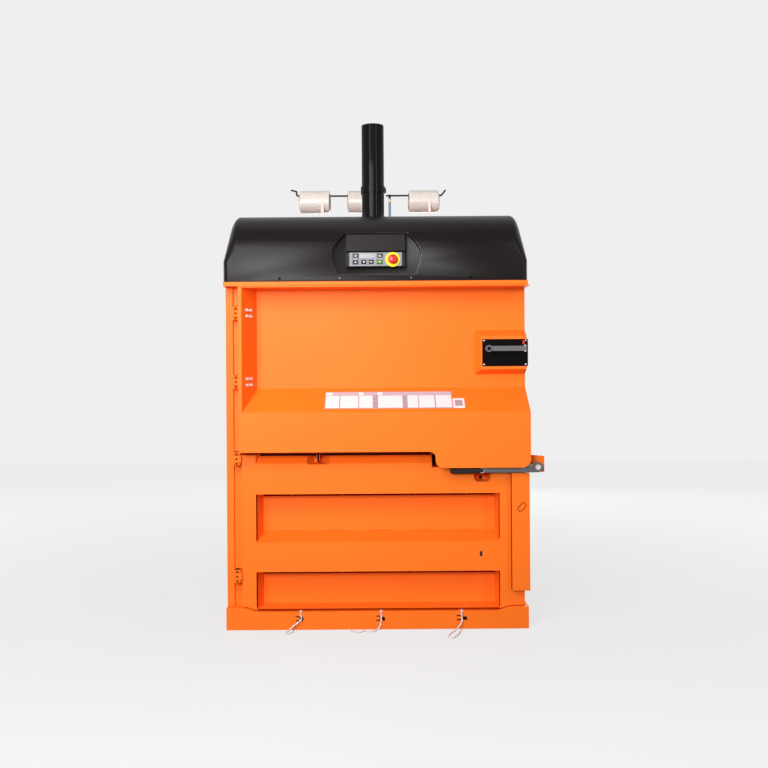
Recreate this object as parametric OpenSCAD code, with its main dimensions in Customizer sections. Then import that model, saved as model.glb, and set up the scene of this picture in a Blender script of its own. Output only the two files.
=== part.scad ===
// Vertical baler for card and film: a welded housing with two side-hung doors at the front,
// a press plate on a hydraulic cylinder above the chamber, and three strap rolls behind the cylinder.
// X runs across the front, Y from the doors to the back, Z up; the origin is on the floor,
// in the middle of the housing.

/* [Housing] */
// Width over the side walls
body_w = 1200; // [1180:10:1300]
// Depth from the front of the hinge post to the back of the back wall
body_d = 740; // [700:10:820]
// Height of the underside of the roof deck
roof_z = 1362; // [1350:2:1420]
// Thickness of the roof deck
roof_h = 17; // [14:1:30]
// Width of the hollow side walls
side_w = 100; // [90:2:105]
// Depth of the space that the doors close
door_zone = 85; // [82:1:95]
// Width of the hinge post
post_w = 60; // [56:1:64]
// Thickness of the sheet steel of the housing
sheet = 4; // [3:0.5:5]
// Depth of the back wall
back_h = 50; // [44:1:60]

/* [Base] */
// Height of the base at its ends
base_end_h = 87; // [84:1:95]
// Height of the base between the side walls
base_mid_h = 72; // [68:1:76]
// How far the front sill stands proud of the hinge post
sill_proud = 30; // [26:1:40]
// Height of the chamber floor's ribs above the base
floor_rib_h = 28; // [20:1:40]
// Width of a strap groove
groove_w = 60; // [40:2:80]
// Distance between neighbouring straps along the floor
strap_pitch = 319; // [290:1:330]
// Outer radius of a strap hook slot
hook_r = 11; // [9:0.5:13]

/* [Upper door] */
// Front plane of the upper door, in front of the hinge post
upper_front = 95; // [85:1:105]
// Height of the door's lower edge
upper_bottom_z = 709; // [706:1:730]
// Height of the lower edge of the apron that covers the lock lever
apron_z = 645; // [643:1:650]
// Depth of the recessed face behind the hinge post's front
recess_y = 35; // [20:1:45]
// Height at which the recessed face ends
slope_top_z = 956; // [920:2:980]
// Height at which the slope meets the front plane
slope_bottom_z = 865; // [845:1:900]
// Thickness of the door sheets
door_sheet = 3; // [2:0.5:4]

/* [Lower door] */
// Front plane of the lower door, in front of the hinge post
lower_front = 20; // [16:1:24]
// Height of the lower door's upper edge
lower_top_z = 694; // [680:1:698]
// Height of the upper edge behind the apron
lower_step_z = 640; // [630:1:641]
// Height of the rail between the two recesses, at its lower edge
mid_rail_z = 228; // [200:1:250]
// Depth of the recessed panels behind the hinge post's front
panel_y = 70; // [55:1:71]
// Gap round the doors
door_gap = 4; // [3:0.5:6]

/* [Hinges and levers] */
// Distance of the hinge axis from the side of the doors
hinge_out = 18; // [17.5:0.5:20]
// Diameter of the hinge pins
pin_d = 16; // [12:1:18]
// Running clearance on a pin, over the radius
run_fit = 0.05; // [0.03:0.01:0.08]
// Thickness of the hinge lugs
lug_h = 12; // [10:1:14]
// Height of a door's own hinge lug
door_lug_h = 26; // [22:1:30]
// Length of the lock lever
lever_len = 344; // [300:2:360]
// Thickness of the lock lever
lever_t = 10; // [8:1:12]

/* [Press] */
// Outer diameter of the hydraulic cylinder
cyl_d = 98; // [94:1:102]
// Bore of the hydraulic cylinder
bore_d = 80; // [74:1:84]
// Top of the hydraulic cylinder above the floor
cyl_top_z = 2107; // [2090:1:2140]
// Diameter of the piston rod
rod_d = 50; // [44:1:56]
// Underside of the press plate at rest
press_z = 1290; // [1285:1:1295]
// Stroke of the press plate
stroke = 630; // [560:5:635]

/* [Hood] */
// Height of the hood above the roof deck
hood_h = 284; // [270:2:300]
// Depth of the hood
hood_d = 292; // [280:2:300]
// Thickness of the hood's shell
hood_t = 4; // [3:0.5:6]

/* [Strap rolls] */
// Outer diameter of a strap roll
roll_d = 99; // [90:1:104]
// Length of a strap roll
roll_len = 138; // [120:1:140]
// Bore of a roll's core
core_d = 63; // [56:1:70]
// Diameter of the rod that carries the rolls
roll_rod_d = 8; // [6:0.5:10]
// Width of a strap
strap_w = 12; // [9:0.5:16]

/* [Hidden] */
$fn = 48;

orange = "#ff7a28";
black = "#1c1b1d";
steel = "#8f9296";
strap_white = "#e8e2dc";

// Planes of the housing
xl = -body_w / 2;
xr = body_w / 2;
yf = -body_d / 2;
yb = body_d / 2;
inner_x = xr - side_w;
chamber_y0 = yf + door_zone;
chamber_y1 = yb - back_h;
sill_y = yf - sill_proud;
roof_top = roof_z + roof_h;
roof_y0 = yf - 62;
base_t = 5;
floor_z = base_mid_h + floor_rib_h;
slot_x0 = 14;
slot_x = [for (i = [-1:1]) slot_x0 + i * strap_pitch];
slot_z = 44;
strap_t = 1;
channel_d = 30;

// Planes of the doors
door_x0 = xl + post_w + 3;
upper_x1 = xr + 2;
lower_x1 = xr - 14;
upper_y0 = yf - upper_front;
lower_y0 = yf - lower_front;
door_back = chamber_y0 - 5;
liner_t = 4;
upper_top_z = roof_z - door_gap;
ceiling_z = upper_top_z - door_sheet - 1;
slant_x0 = door_x0 + 14;
slant_k = 43 / (upper_front + recess_y);
slope_m = (slope_top_z - slope_bottom_z) / (upper_front + recess_y);
step_x = door_x0 + 757;
apron_x = step_x + 10;
stile_x0 = door_x0 + 56;
stile_x1 = lower_x1 - 98;
recess_slant = 18 / (lower_front + panel_y);
recess_slant_r = 9.5 / (lower_front + panel_y);
top_recess_z = 537;
slope_run_z = 345;
slope_rise = 30 / (lower_front + panel_y);
bevel_z = lower_top_z - 36;

// Hinges and levers
axis_x = door_x0 - hinge_out;
axis_y = yf - 20;
lug_r = 16;
hinge_z = [lower_top_z - 1 - door_lug_h / 2, 214, 985, 1257];
lug_gap = 1;
pin_len = door_lug_h + 2 * lug_h + 2 * lug_gap;
lever_x = xr + 34;
lever_z = 643;
lever_y = yf - 60;
eye_r = 21;
bolt_d = 16;
cover_x0 = lower_x1 - 53;
cover_x1 = xr + 4;
cover_y = yf - 45;
cover_z0 = 153;
cover_z1 = 618;
claw_x = [-233, 420];
claw_z = [lower_top_z - 14, lower_step_z - 20];
claw_y = yf + 20;
claw_t = 6;
claw_pin_d = 8;

// Handle on the upper door
pad_x0 = upper_x1 - 203;
pad_y = yf - 12;
pad_z0 = 1009;
pad_z1 = 1187;
plate_y = pad_y - 3;
plate_x0 = upper_x1 - 178;
plate_x1 = upper_x1 + 4;
plate_z0 = 1041;
plate_z1 = 1149;
handle_x = upper_x1 - 155;
handle_z = 1111;
handle_shaft_d = 12;
finger_gap = 18;
bar_t = 12;
bar_front = plate_y - finger_gap - bar_t;
bar_end = plate_x1 - 22;

// Cylinder and press
cyl_x = -8;
cyl_y = yf + 380;
flange_w = 170;
flange_t = 20;
gland_d = 94;
gland_h = 40;
cap_t = 25;
piston_h = 35;
press_t = 10;
press_gap = 8;
hub_h = 36;
beam_h = 60;
beam_w = 45;
beam_y = [cyl_y - flange_w / 2 - 5 - beam_w, cyl_y + flange_w / 2 + 5];
beam_inset = 40;

// Hood and controls
hood_y0 = roof_y0;
hood_y1 = roof_y0 + hood_d;
hood_top = roof_top + hood_h;
hood_round = [50, 200, 170];
recess_back = hood_y0 + 57;
box_x0 = -114;
box_x1 = 118;
box_z0 = roof_top + 59;
box_z1 = roof_top + 190;
box_y = recess_back - 37;
panel_z1 = box_z0 + 55;
panel_t = 3;
panel_front = box_y - panel_t;
key_w = 18;
key_h = 14;
key_gap = 0.4;
key_travel = 1.5;
key_proud = 3;
key_depth = 5;
keys = [[-78, 18], [-45, 18], [-16, 18], [18, 18], [-77, 42], [19, 42]];
estop_x = 69;
estop_z = box_z0 + 27;
estop_disc_d = 57;
estop_head_d = 37;
estop_stem_d = 16;
estop_travel = 5;
collar_t = 4;

// Strap rolls and their rod
rod_y = cyl_y + 118;
rod_z = 1822;
roll_z = rod_z - core_d / 2 + roll_rod_d / 2 + 0.3;
roll_x = [-272, -54, 222];
lead_x = [36, 0, 24];
clamp_h = 30;
arm_x = cyl_x + cyl_d / 2 + 1;
arm_t = 8;
riser_d = 12;
riser_y = cyl_y + cyl_d / 2 + 3 + riser_d / 2;
guide_d = 10;
pipe_h = 375;
fitting_h = 17;
guide_z = roof_top + 96;
strap_y = rod_y - roll_d / 2 - strap_t - 0.2;
guide_y = strap_y + strap_t + 0.2 + guide_d / 2;
guide_x = 356;

// Strap tails, hand-laid points in front of the sill and on the floor
tail_d = 7;
tail_y = sill_y - 4;
tail_left = [[-305, tail_y, 72], [-305, tail_y, 58], [-301, tail_y, 48], [-304, tail_y - 1, 41],
             [-314, tail_y - 3, 32], [-328, tail_y - 6, 22], [-342, tail_y - 12, 11],
             [-352, tail_y - 24, 4], [-358, tail_y - 40, 4], [-352, tail_y - 54, 4],
             [-340, tail_y - 50, 4], [-334, tail_y - 34, 4], [-332, tail_y - 20, 4.5]];
tail_middle = [[14, tail_y, 72], [14, tail_y, 58], [15, tail_y, 46], [14, tail_y, 36],
               [12, tail_y - 1, 24], [8, tail_y - 4, 12], [0, tail_y - 12, 5.5],
               [-14, tail_y - 32, 4], [-30, tail_y - 38, 4], [-44, tail_y - 22, 4],
               [-60, tail_y - 34, 4], [-76, tail_y - 48, 4], [-92, tail_y - 34, 4],
               [-106, tail_y - 24, 4]];
tail_right = [[333, tail_y, 72], [333, tail_y, 58], [334, tail_y, 46], [334, tail_y - 1, 36],
              [330, tail_y - 4, 24], [320, tail_y - 12, 13], [306, tail_y - 30, 5],
              [290, tail_y - 56, 4], [276, tail_y - 88, 4], [274, tail_y - 118, 4],
              [286, tail_y - 128, 4], [300, tail_y - 110, 4], [314, tail_y - 78, 4],
              [324, tail_y - 44, 4], [328, tail_y - 20, 4.5]];

function unit(v) = v / norm(v);
function side(a, b) = let (d = unit(b - a)) [d[1], -d[0]];
function mitre(p, i) =
    i == 0 ? side(p[0], p[1])
    : i == len(p) - 1 ? side(p[i - 1], p[i])
    : let (a = side(p[i - 1], p[i]), b = side(p[i], p[i + 1])) (a + b) / (1 + a * b);
// Outline of a folded sheet: the path, and back along it a thickness away on its right
function ribbon(p, t) = concat(p, [for (i = [len(p) - 1:-1:0]) p[i] + t * mitre(p, i)]);
function arc(c, r, a0, a1, n) = [for (i = [0:n]) let (a = a0 + (a1 - a0) * i / n)
    c + r * [cos(a), sin(a)]];
// Height of the sill: low between the walls and a smooth rise to both ends
curve_x0 = inner_x - 30;
curve_x1 = inner_x + 35;
function sill_z(x) =
    let (f = min(1, max(0, (abs(x) - curve_x0) / (curve_x1 - curve_x0))))
    base_mid_h + (base_end_h - base_mid_h) * (1 - cos(180 * f)) / 2;
function curve_xs() = [for (i = [0:8]) curve_x0 + (curve_x1 - curve_x0) * i / 8];

module box(a, b) {
    translate(a) cube(b - a);
}
// Extrusions of a flat outline: across (y, z), front to back (x, z) and upward (x, y)
module across(x0, x1) {
    translate([x0, 0, 0]) rotate([90, 0, 90]) linear_extrude(x1 - x0) children();
}
module frontback(y0, y1) {
    translate([0, y1, 0]) rotate([90, 0, 0]) linear_extrude(y1 - y0) children();
}
module upward(z0, z1) {
    translate([0, 0, z0]) linear_extrude(z1 - z0) children();
}
module bar_x(x0, x1, y, z, d) {
    translate([x0, y, z]) rotate([0, 90, 0]) cylinder(d = d, h = x1 - x0);
}
module bar_y(y0, y1, x, z, d) {
    translate([x, y1, z]) rotate([90, 0, 0]) cylinder(d = d, h = y1 - y0);
}
module bar_z(z0, z1, x, y, d) {
    translate([x, y, z0]) cylinder(d = d, h = z1 - z0);
}

// Base: an open-bottomed box with a curved front sill, three hook slots and two fork pockets
module hook_slot() {
    difference() {
        union() {
            circle(r = hook_r);
            translate([-19, -hook_r]) square([19, 2 * hook_r]);
        }
        circle(r = hook_r - 6);
        translate([-20, 6 - hook_r]) square([20, 2 * hook_r - 12]);
    }
}
module base_frame() color(orange) difference() {
    union() {
        frontback(sill_y, chamber_y0) polygon(concat([[xl, 0], [xl, base_end_h]],
            [for (i = [8:-1:0]) [-curve_xs()[i], sill_z(curve_xs()[i])]],
            [for (x = curve_xs()) [x, sill_z(x)]], [[xr, base_end_h], [xr, 0]]));
        frontback(chamber_y0, yb) polygon([[xl, 0], [xl, base_end_h], [-inner_x, base_end_h],
            [-inner_x, base_mid_h], [inner_x, base_mid_h], [inner_x, base_end_h],
            [xr, base_end_h], [xr, 0]]);
    }
    box([xl + base_t, sill_y + base_t, base_t], [xr - base_t, yb - base_t, base_mid_h - base_t]);
    for (s = [-1, 1]) box([s > 0 ? 50 : xl + 45, sill_y + 45, -1],
        [s > 0 ? xr - 45 : -50, yb - 45, base_t + 1]);
    for (x = slot_x) translate([x, 0, slot_z])
        frontback(sill_y - 1, sill_y + base_t + 1) hook_slot();
    for (s = [-1, 1]) box([s * 260 - 90, yb - base_t - 1, 10], [s * 260 + 90, yb + 1, 60]);
}

// Chamber floor: one folded sheet with a groove for each strap
floor_t = 3;
module chamber_floor() color(orange) frontback(chamber_y0 + 1, chamber_y1 - 1) polygon(ribbon(
    concat([[2 - inner_x, base_mid_h], [2 - inner_x, floor_z]],
    [for (x = slot_x, p = [[-1, 1], [-1, 0], [1, 0], [1, 1]])
        [x + p[0] * groove_w / 2, p[1] == 1 ? floor_z : base_mid_h + floor_t]],
    [[inner_x - 2, floor_z], [inner_x - 2, base_mid_h]]), floor_t));

// Hinge post: a closed folded profile with a set-back band where the lugs are welded on
band_x = xl + 29;
band_y = yf + 12;
module post_outline(t) {
    polygon([[xl + t, yf + t], [band_x - t, yf + t], [band_x - t, band_y + t],
        [xl + post_w - t, band_y + t], [xl + post_w - t, chamber_y0 - t],
        [xl + t, chamber_y0 - t]]);
}
module left_post() color(orange) upward(base_end_h, roof_z) difference() {
    post_outline(0);
    post_outline(sheet);
}
module wall_tube(x0, x1) color(orange) upward(base_end_h, roof_z) difference() {
    translate([x0, chamber_y0]) square([x1 - x0, chamber_y1 - chamber_y0]);
    translate([x0 + sheet, chamber_y0 + sheet])
        square([x1 - x0 - 2 * sheet, chamber_y1 - chamber_y0 - 2 * sheet]);
}
module left_wall() wall_tube(xl, -inner_x);
// Right wall, with the two keepers that the lock hooks catch
keeper_y = 14;
module right_wall() color(orange) {
    wall_tube(inner_x, xr);
    for (z = [240, 520]) box([lower_x1 + 3, chamber_y0 - keeper_y, z],
        [xr, chamber_y0 + sheet / 2, z + 24]);
}
// Back wall: one folded sheet with a strap channel at each strap, open to the chamber
module back_wall() color(orange) upward(base_end_h, roof_z) polygon(ribbon(concat(
    [[xl, yb], [xl, chamber_y1]],
    [for (x = slot_x, p = [[-1, 0], [-1, 1], [1, 1], [1, 0]])
        [x + p[0] * groove_w / 2, chamber_y1 + p[1] * channel_d]],
    [[xr, chamber_y1], [xr, yb]]), -sheet));

// Roof deck over the chamber, with the opening for the cylinder's gland and the strap slots
module roof_deck() color(orange) difference() {
    box([xl, roof_y0, roof_z], [xr, yb, roof_top]);
    box([-inner_x, chamber_y0, roof_z - 1], [inner_x, chamber_y1, roof_top - sheet - 2]);
    bar_z(roof_z - 1, roof_top + 1, cyl_x, cyl_y, gland_d + 2);
    for (x = slot_x) box([x - groove_w / 2, chamber_y1 + 2, roof_z - 1],
        [x + groove_w / 2, chamber_y1 + channel_d, roof_top + 1]);
}
module crosshead_beams() color(orange) for (i = [0, 1]) {
    web = i == 0 ? beam_y[0] : beam_y[1] + beam_w;
    s = i == 0 ? 1 : -1;
    across(xl + beam_inset, xr - beam_inset) polygon(ribbon(
        [[web + s * beam_w, roof_top], [web, roof_top], [web, roof_top + beam_h],
         [web + s * beam_w, roof_top + beam_h]], s * 6));
}

// Hood: a moulded shell with large rounded upper edges and a pocket for the control box
module hood_form(g) {
    hull() {
        for (s = [-1, 1]) {
            intersection() {
                union() {
                    translate([s * (xr - hood_round[0]), hood_y0 + hood_round[1],
                        hood_top - hood_round[2]])
                        scale([hood_round[0] - g, hood_round[1] - g, hood_round[2] - g])
                        sphere(1, $fn = 40);
                    translate([s * (xr - hood_round[0]), hood_y1 - g, hood_top - hood_round[2]])
                        rotate([90, 0, 0]) scale([hood_round[0] - g, hood_round[2] - g, 1])
                        cylinder(r = 1, h = 30, $fn = 40);
                }
                box([xl, hood_y0, hood_top - hood_round[2]], [xr, hood_y1, hood_top]);
            }
            for (y = [hood_y0 + 20, hood_y1 - 20])
                bar_z(roof_top - (g > 0 ? 1 : 0), roof_top + 80, s * (xr - 20), y, 40 - 2 * g);
        }
    }
}
function pocket(g) = [[-148 - g, roof_top + 27 - g], [160 + g, roof_top + 27 - g],
    [176 + g, roof_top + 70], [181 + g, roof_top + 100], [176 + g, roof_top + 128],
    [158 + g, roof_top + 158], [126 + g, roof_top + 192 + g], [-120 - g, roof_top + 192 + g],
    [-151 - g, roof_top + 158], [-169 - g, roof_top + 128], [-174 - g, roof_top + 100],
    [-169 - g, roof_top + 70]];
module hood() color(black) difference() {
    hood_form(0);
    difference() {
        hood_form(hood_t);
        frontback(hood_y0 - 1, recess_back + hood_t) polygon(pocket(hood_t));
    }
    frontback(hood_y0 - 1, recess_back) polygon(pocket(0));
}

// Control box in the hood's pocket, with a visor over the panel
module control_box() color(black) difference() {
    across(box_x0, box_x1) polygon([[recess_back, box_z0], [box_y, box_z0], [box_y, panel_z1],
        [box_y - 10, panel_z1 + 6], [box_y - 2, box_z1 - 6], [box_y + 6, box_z1],
        [recess_back, box_z1]]);
    for (k = keys) box([k[0] - key_w / 2 - key_gap, box_y - 1, box_z0 + k[1] - key_h / 2 - key_gap],
        [k[0] + key_w / 2 + key_gap, box_y + key_depth + 3, box_z0 + k[1] + key_h / 2 + key_gap]);
    bar_y(box_y - 1, box_y + 18, estop_x, estop_z, estop_stem_d + 2 * run_fit);
}
module control_panel() color("#5d5f66") difference() {
    box([box_x0 + 12, panel_front, box_z0 + 2], [box_x1 - 13, box_y, panel_z1]);
    for (k = keys) box([k[0] - key_w / 2 - key_gap, panel_front - 1,
        box_z0 + k[1] - key_h / 2 - key_gap],
        [k[0] + key_w / 2 + key_gap, box_y + 1, box_z0 + k[1] + key_h / 2 + key_gap]);
    bar_y(panel_front - 1, box_y + 1, estop_x, estop_z, estop_stem_d + 2 * run_fit);
}
module estop_collar() color("#ffd11a") difference() {
    bar_y(panel_front - collar_t, panel_front, estop_x, estop_z, estop_disc_d);
    bar_y(panel_front - collar_t - 1, panel_front + 1, estop_x, estop_z,
        estop_stem_d + 2 * run_fit);
}
module estop_head() color("#d8232a") {
    bar_y(panel_front - collar_t - 10, box_y + 8, estop_x, estop_z, estop_stem_d);
    translate([estop_x, panel_front - collar_t - 6, estop_z]) rotate([90, 0, 0])
        rotate_extrude() polygon([[0, 0], [estop_head_d / 2 - 4, 0], [estop_head_d / 2, 3],
        [estop_head_d / 2, 9], [estop_head_d / 2 - 4, 14], [estop_head_d / 2 - 10, 16], [0, 17]]);
}
module key(i, tint) color(tint) box(
    [keys[i][0] - key_w / 2, panel_front - key_proud, box_z0 + keys[i][1] - key_h / 2],
    [keys[i][0] + key_w / 2, box_y + key_depth, box_z0 + keys[i][1] + key_h / 2]);
module button_up() key(0, black);
module button_down() key(1, black);
module button_menu() key(2, black);
module button_start() key(3, "#2fa84f");
module button_stop() key(4, "#b9a3a8");
module button_bale() key(5, black);

// Cylinder: a tube with a closed top on a bolted flange whose gland guides the rod
module cylinder_tube() color(black) difference() {
    bar_z(roof_top + flange_t, cyl_top_z, cyl_x, cyl_y, cyl_d);
    bar_z(roof_top + flange_t - 1, cyl_top_z - cap_t, cyl_x, cyl_y, bore_d);
}
module cylinder_flange() color(black) difference() {
    union() {
        translate([cyl_x - flange_w / 2, cyl_y - flange_w / 2, roof_top])
            cube([flange_w, flange_w, flange_t]);
        bar_z(roof_top - gland_h, roof_top + 1, cyl_x, cyl_y, gland_d);
        for (a = [45:90:315]) translate([cyl_x, cyl_y, roof_top + flange_t]) rotate(a)
            translate([flange_w / 2 + 10, 0, 0]) cylinder(d = 22, h = 12, $fn = 6);
    }
    bar_z(roof_top - gland_h - 1, roof_top + flange_t + 1, cyl_x, cyl_y, rod_d + 2 * run_fit);
}
module riser_pipe() color(steel) {
    top = cyl_top_z - 60;
    bar_z(roof_top + flange_t, top, cyl_x, riser_y, riser_d);
    bar_y(cyl_y + cyl_d / 2, riser_y, cyl_x, top - 6, riser_d);
    bar_z(roof_top + flange_t, roof_top + flange_t + 24, cyl_x, riser_y, riser_d + 6);
}
module piston_rod() color("#c9ccd0") {
    top = cyl_top_z - cap_t - 2;
    bar_z(top - piston_h, top, cyl_x, cyl_y, bore_d - 2 * run_fit);
    bar_z(press_z + press_t, top, cyl_x, cyl_y, rod_d);
}

// Press plate: a ribbed weldment round the rod's hub, notched at each strap
plate_y0 = chamber_y0 + 20;
plate_y1 = chamber_y1 - press_gap;
plate_half = inner_x - press_gap;
module press_plate() color(orange) difference() {
    union() {
        box([-plate_half, plate_y0, press_z], [plate_half, plate_y1, press_z + press_t]);
        for (y = [plate_y0 + 60, cyl_y - 60, cyl_y + 60 - 8, plate_y1 - 68])
            box([-plate_half + 20, y, press_z + press_t],
                [plate_half - 20, y + 8, press_z + press_t + hub_h - 4]);
        for (x = [-1, 1]) box([x * (plate_half - 24) - 4, plate_y0 + 60, press_z + press_t],
            [x * (plate_half - 24) + 4, plate_y1 - 60, press_z + press_t + hub_h - 4]);
        bar_z(press_z + press_t, press_z + press_t + hub_h, cyl_x, cyl_y, rod_d + 40);
    }
    bar_z(press_z + press_t, press_z + press_t + hub_h + 1, cyl_x, cyl_y, rod_d);
    for (x = slot_x, y = [plate_y0, plate_y1])
        box([x - 15, y - 12, press_z - 1], [x + 15, y + 12, press_z + press_t + 1]);
}
module guide_pads() color("#e6e6e0") for (s = [-1, 1], y = [plate_y0 + 90, plate_y1 - 150])
    box([s > 0 ? plate_half : -inner_x + 1, y, press_z],
        [s > 0 ? inner_x - 1 : -plate_half, y + 60, press_z + 40]);

// Strap rolls on a cranked rod that a clamp holds to the cylinder
module strap_roll(i) color(strap_white) translate([roll_x[i] - roll_len / 2, rod_y, roll_z])
    rotate([0, 90, 0]) rotate_extrude() polygon([[core_d / 2, 0], [core_d / 2 + 4, 0],
        [core_d / 2 + 4, 2], [roll_d / 2 - 4, 2], [roll_d / 2 - 1, 4], [roll_d / 2, 7],
        [roll_d / 2, roll_len - 7], [roll_d / 2 - 1, roll_len - 4],
        [roll_d / 2 - 4, roll_len - 2], [core_d / 2 + 4, roll_len - 2],
        [core_d / 2 + 4, roll_len], [core_d / 2, roll_len]]);
module strap_roll_left() strap_roll(0);
module strap_roll_middle() strap_roll(1);
module strap_roll_right() strap_roll(2);
module rod_piece(a, b) {
    d = b - a;
    translate(a) rotate([0, acos(d[2] / norm(d)), atan2(d[1], d[0])])
        cylinder(d = roll_rod_d, h = norm(d));
    for (c = [a, b]) translate(c) sphere(d = roll_rod_d + 0.6);
}
module roll_rod() color("#55575a") {
    x0 = roll_x[0] - roll_len / 2 - 5;
    x1 = roll_x[2] + roll_len / 2 + 9;
    bar_x(x0, x1, rod_y, rod_z, roll_rod_d);
    left = [[x0, rod_y, rod_z], [x0 - 9, rod_y, rod_z + 5], [x0 - 10, rod_y, rod_z + 21],
        [x0 - 32, rod_y, rod_z + 27]];
    right = [[x1, rod_y, rod_z], [x1 + 5, rod_y, rod_z + 3], [x1 + 20, rod_y, rod_z + 22]];
    for (i = [0:2]) rod_piece(left[i], left[i + 1]);
    for (i = [0:1]) rod_piece(right[i], right[i + 1]);
}
module rod_clamp() color("#77797c") difference() {
    union() {
        bar_z(rod_z - clamp_h / 2, rod_z + clamp_h / 2, cyl_x, cyl_y, cyl_d + 10);
        box([arm_x, cyl_y, rod_z - clamp_h / 2 + 4],
            [arm_x + arm_t, rod_y + 12, rod_z + clamp_h / 2 - 4]);
    }
    bar_z(rod_z - clamp_h, rod_z + clamp_h, cyl_x, cyl_y, cyl_d);
    bar_x(arm_x - 1, arm_x + arm_t + 1, rod_y, rod_z, roll_rod_d);
    bar_z(rod_z - clamp_h, rod_z + clamp_h, cyl_x, riser_y, riser_d + 1);
}
// Breather pipe beside the cylinder: a thin pipe, a brass fitting and a black cap
module breather_pipe() color("#5f7f96") {
    x = cyl_x + flange_w / 2 - 11;
    y = cyl_y + 20;
    foot = roof_top + flange_t;
    bar_z(foot, foot + 14, x, y, 22);
    bar_z(foot + 14, foot + pipe_h, x, y, 10.6);
    bar_z(foot + pipe_h, foot + pipe_h + fitting_h, x, y, 9);
    bar_z(foot + pipe_h + fitting_h, foot + pipe_h + 2 * fitting_h, x, y, 11);
}

// Power pack under the hood: tank, motor and pump
tank_x0 = xl + 100;
tank_l = 290;
tank_h = 170;
tank_y1 = hood_y1 - 20;
motor_x = xr - 170;
motor_l = 210;
motor_d = 140;
motor_y = hood_y0 + 180;
motor_z = roof_top + motor_d / 2 + 12;
module oil_tank() color("#3b3d40") {
    box([tank_x0, hood_y0 + 90, roof_top], [tank_x0 + tank_l, tank_y1, roof_top + tank_h]);
    bar_z(roof_top + tank_h, roof_top + tank_h + 20, tank_x0 + 40, tank_y1 - 40, 40);
}
module pump_motor() color("#44484c") {
    box([motor_x - motor_l - 10, motor_y - motor_d / 2, roof_top],
        [motor_x + 10, motor_y + motor_d / 2, roof_top + 14]);
    bar_x(motor_x - motor_l, motor_x, motor_y, motor_z, motor_d);
    bar_x(motor_x - motor_l - 30, motor_x - motor_l, motor_y, motor_z, motor_d - 50);
    for (a = [0:30:330]) translate([0, motor_y, motor_z]) rotate([a, 0, 0])
        translate([motor_x - motor_l + 20, motor_d / 2 - 10, -3]) cube([motor_l - 40, 16, 6]);
}

// Guides that lead the straps from the rolls over the deck to the back wall's channels
module strap_guides() color(steel) {
    for (s = [-1, 1]) across(s * guide_x - 3, s * guide_x + 3) polygon([
        [guide_y - 10, roof_top + beam_h], [beam_y[1] + beam_w, roof_top + beam_h],
        [beam_y[1] + beam_w, roof_top], [yb - 12, roof_top], [yb - 12, guide_z + 10],
        [guide_y - 10, guide_z + 10]]);
    bar_x(-guide_x, guide_x, guide_y, guide_z, guide_d);
    bar_x(-guide_x, guide_x, strap_back - 0.2 - guide_d / 2, run_z - strap_t - 0.2 - guide_d / 2,
        guide_d);
}
// Each strap, from its roll round both guides, down the back wall and along the floor groove
run_z = guide_z - guide_d / 2 - 0.2;
strap_back = chamber_y1 + 20;
strap_floor = base_mid_h + floor_t + 0.3;
module bottom_straps() color(strap_white) for (i = [0:2]) {
    a = roll_x[i] + lead_x[i];
    b = slot_x[i];
    box([a - strap_w / 2, strap_y, run_z - strap_t], [a + strap_w / 2, strap_y + strap_t, roll_z]);
    hull() {
        box([a - strap_w / 2, strap_y, run_z - strap_t], [a + strap_w / 2, strap_y + 1, run_z]);
        box([b - strap_w / 2, strap_back, run_z - strap_t], [b + strap_w / 2, strap_back + 1, run_z]);
    }
    box([b - strap_w / 2, strap_back, strap_floor], [b + strap_w / 2, strap_back + strap_t, run_z]);
    across(b - strap_w / 2, b + strap_w / 2) polygon(ribbon([[strap_back + 1, strap_floor + 1],
        [chamber_y0, strap_floor + 1], [door_back - 12, base_mid_h + 1.6],
        [sill_y - 1.4, base_mid_h + 1.6]], -strap_t));
}

// A tube swept along hand-laid points, smoothed by a spline through them
function spline(p, n) = [for (i = [0:len(p) - 2], j = [0:(i == len(p) - 2 ? n : n - 1)])
    let (t = j / n, a = p[max(i - 1, 0)], b = p[i], c = p[i + 1], d = p[min(i + 2, len(p) - 1)])
    0.5 * (2 * b + (c - a) * t + (2 * a - 5 * b + 4 * c - d) * t * t
        + (3 * b - a - 3 * c + d) * t * t * t)];
function tangent(p, i) = unit(p[min(i + 1, len(p) - 1)] - p[max(i - 1, 0)]);
function ring(p, i, r, n) =
    let (t = tangent(p, i), u = unit(cross(t, abs(t[2]) > 0.8 ? [0, 1, 0] : [0, 0, 1])),
        v = cross(t, u))
    [for (k = [0:n - 1]) p[i] + r * (cos(360 * k / n) * u + sin(360 * k / n) * v)];
module tube(p, r, n) {
    m = len(p);
    points = [for (i = [0:m - 1], q = ring(p, i, r, n)) q];
    walls = [for (i = [0:m - 2], k = [0:n - 1])
        [i * n + k, i * n + (k + 1) % n, (i + 1) * n + (k + 1) % n, (i + 1) * n + k]];
    polyhedron(points, concat([[for (k = [n - 1:-1:0]) k]], walls,
        [[for (k = [0:n - 1]) (m - 1) * n + k]]), convexity = 6);
}
module strap_tail_left() color(strap_white) tube(spline(tail_left, 2), tail_d / 2, 8);
module strap_tail_middle() color(strap_white) tube(spline(tail_middle, 2), tail_d / 2, 8);
module strap_tail_right() color(strap_white) tube(spline(tail_right, 2), tail_d / 2, 8);

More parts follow.
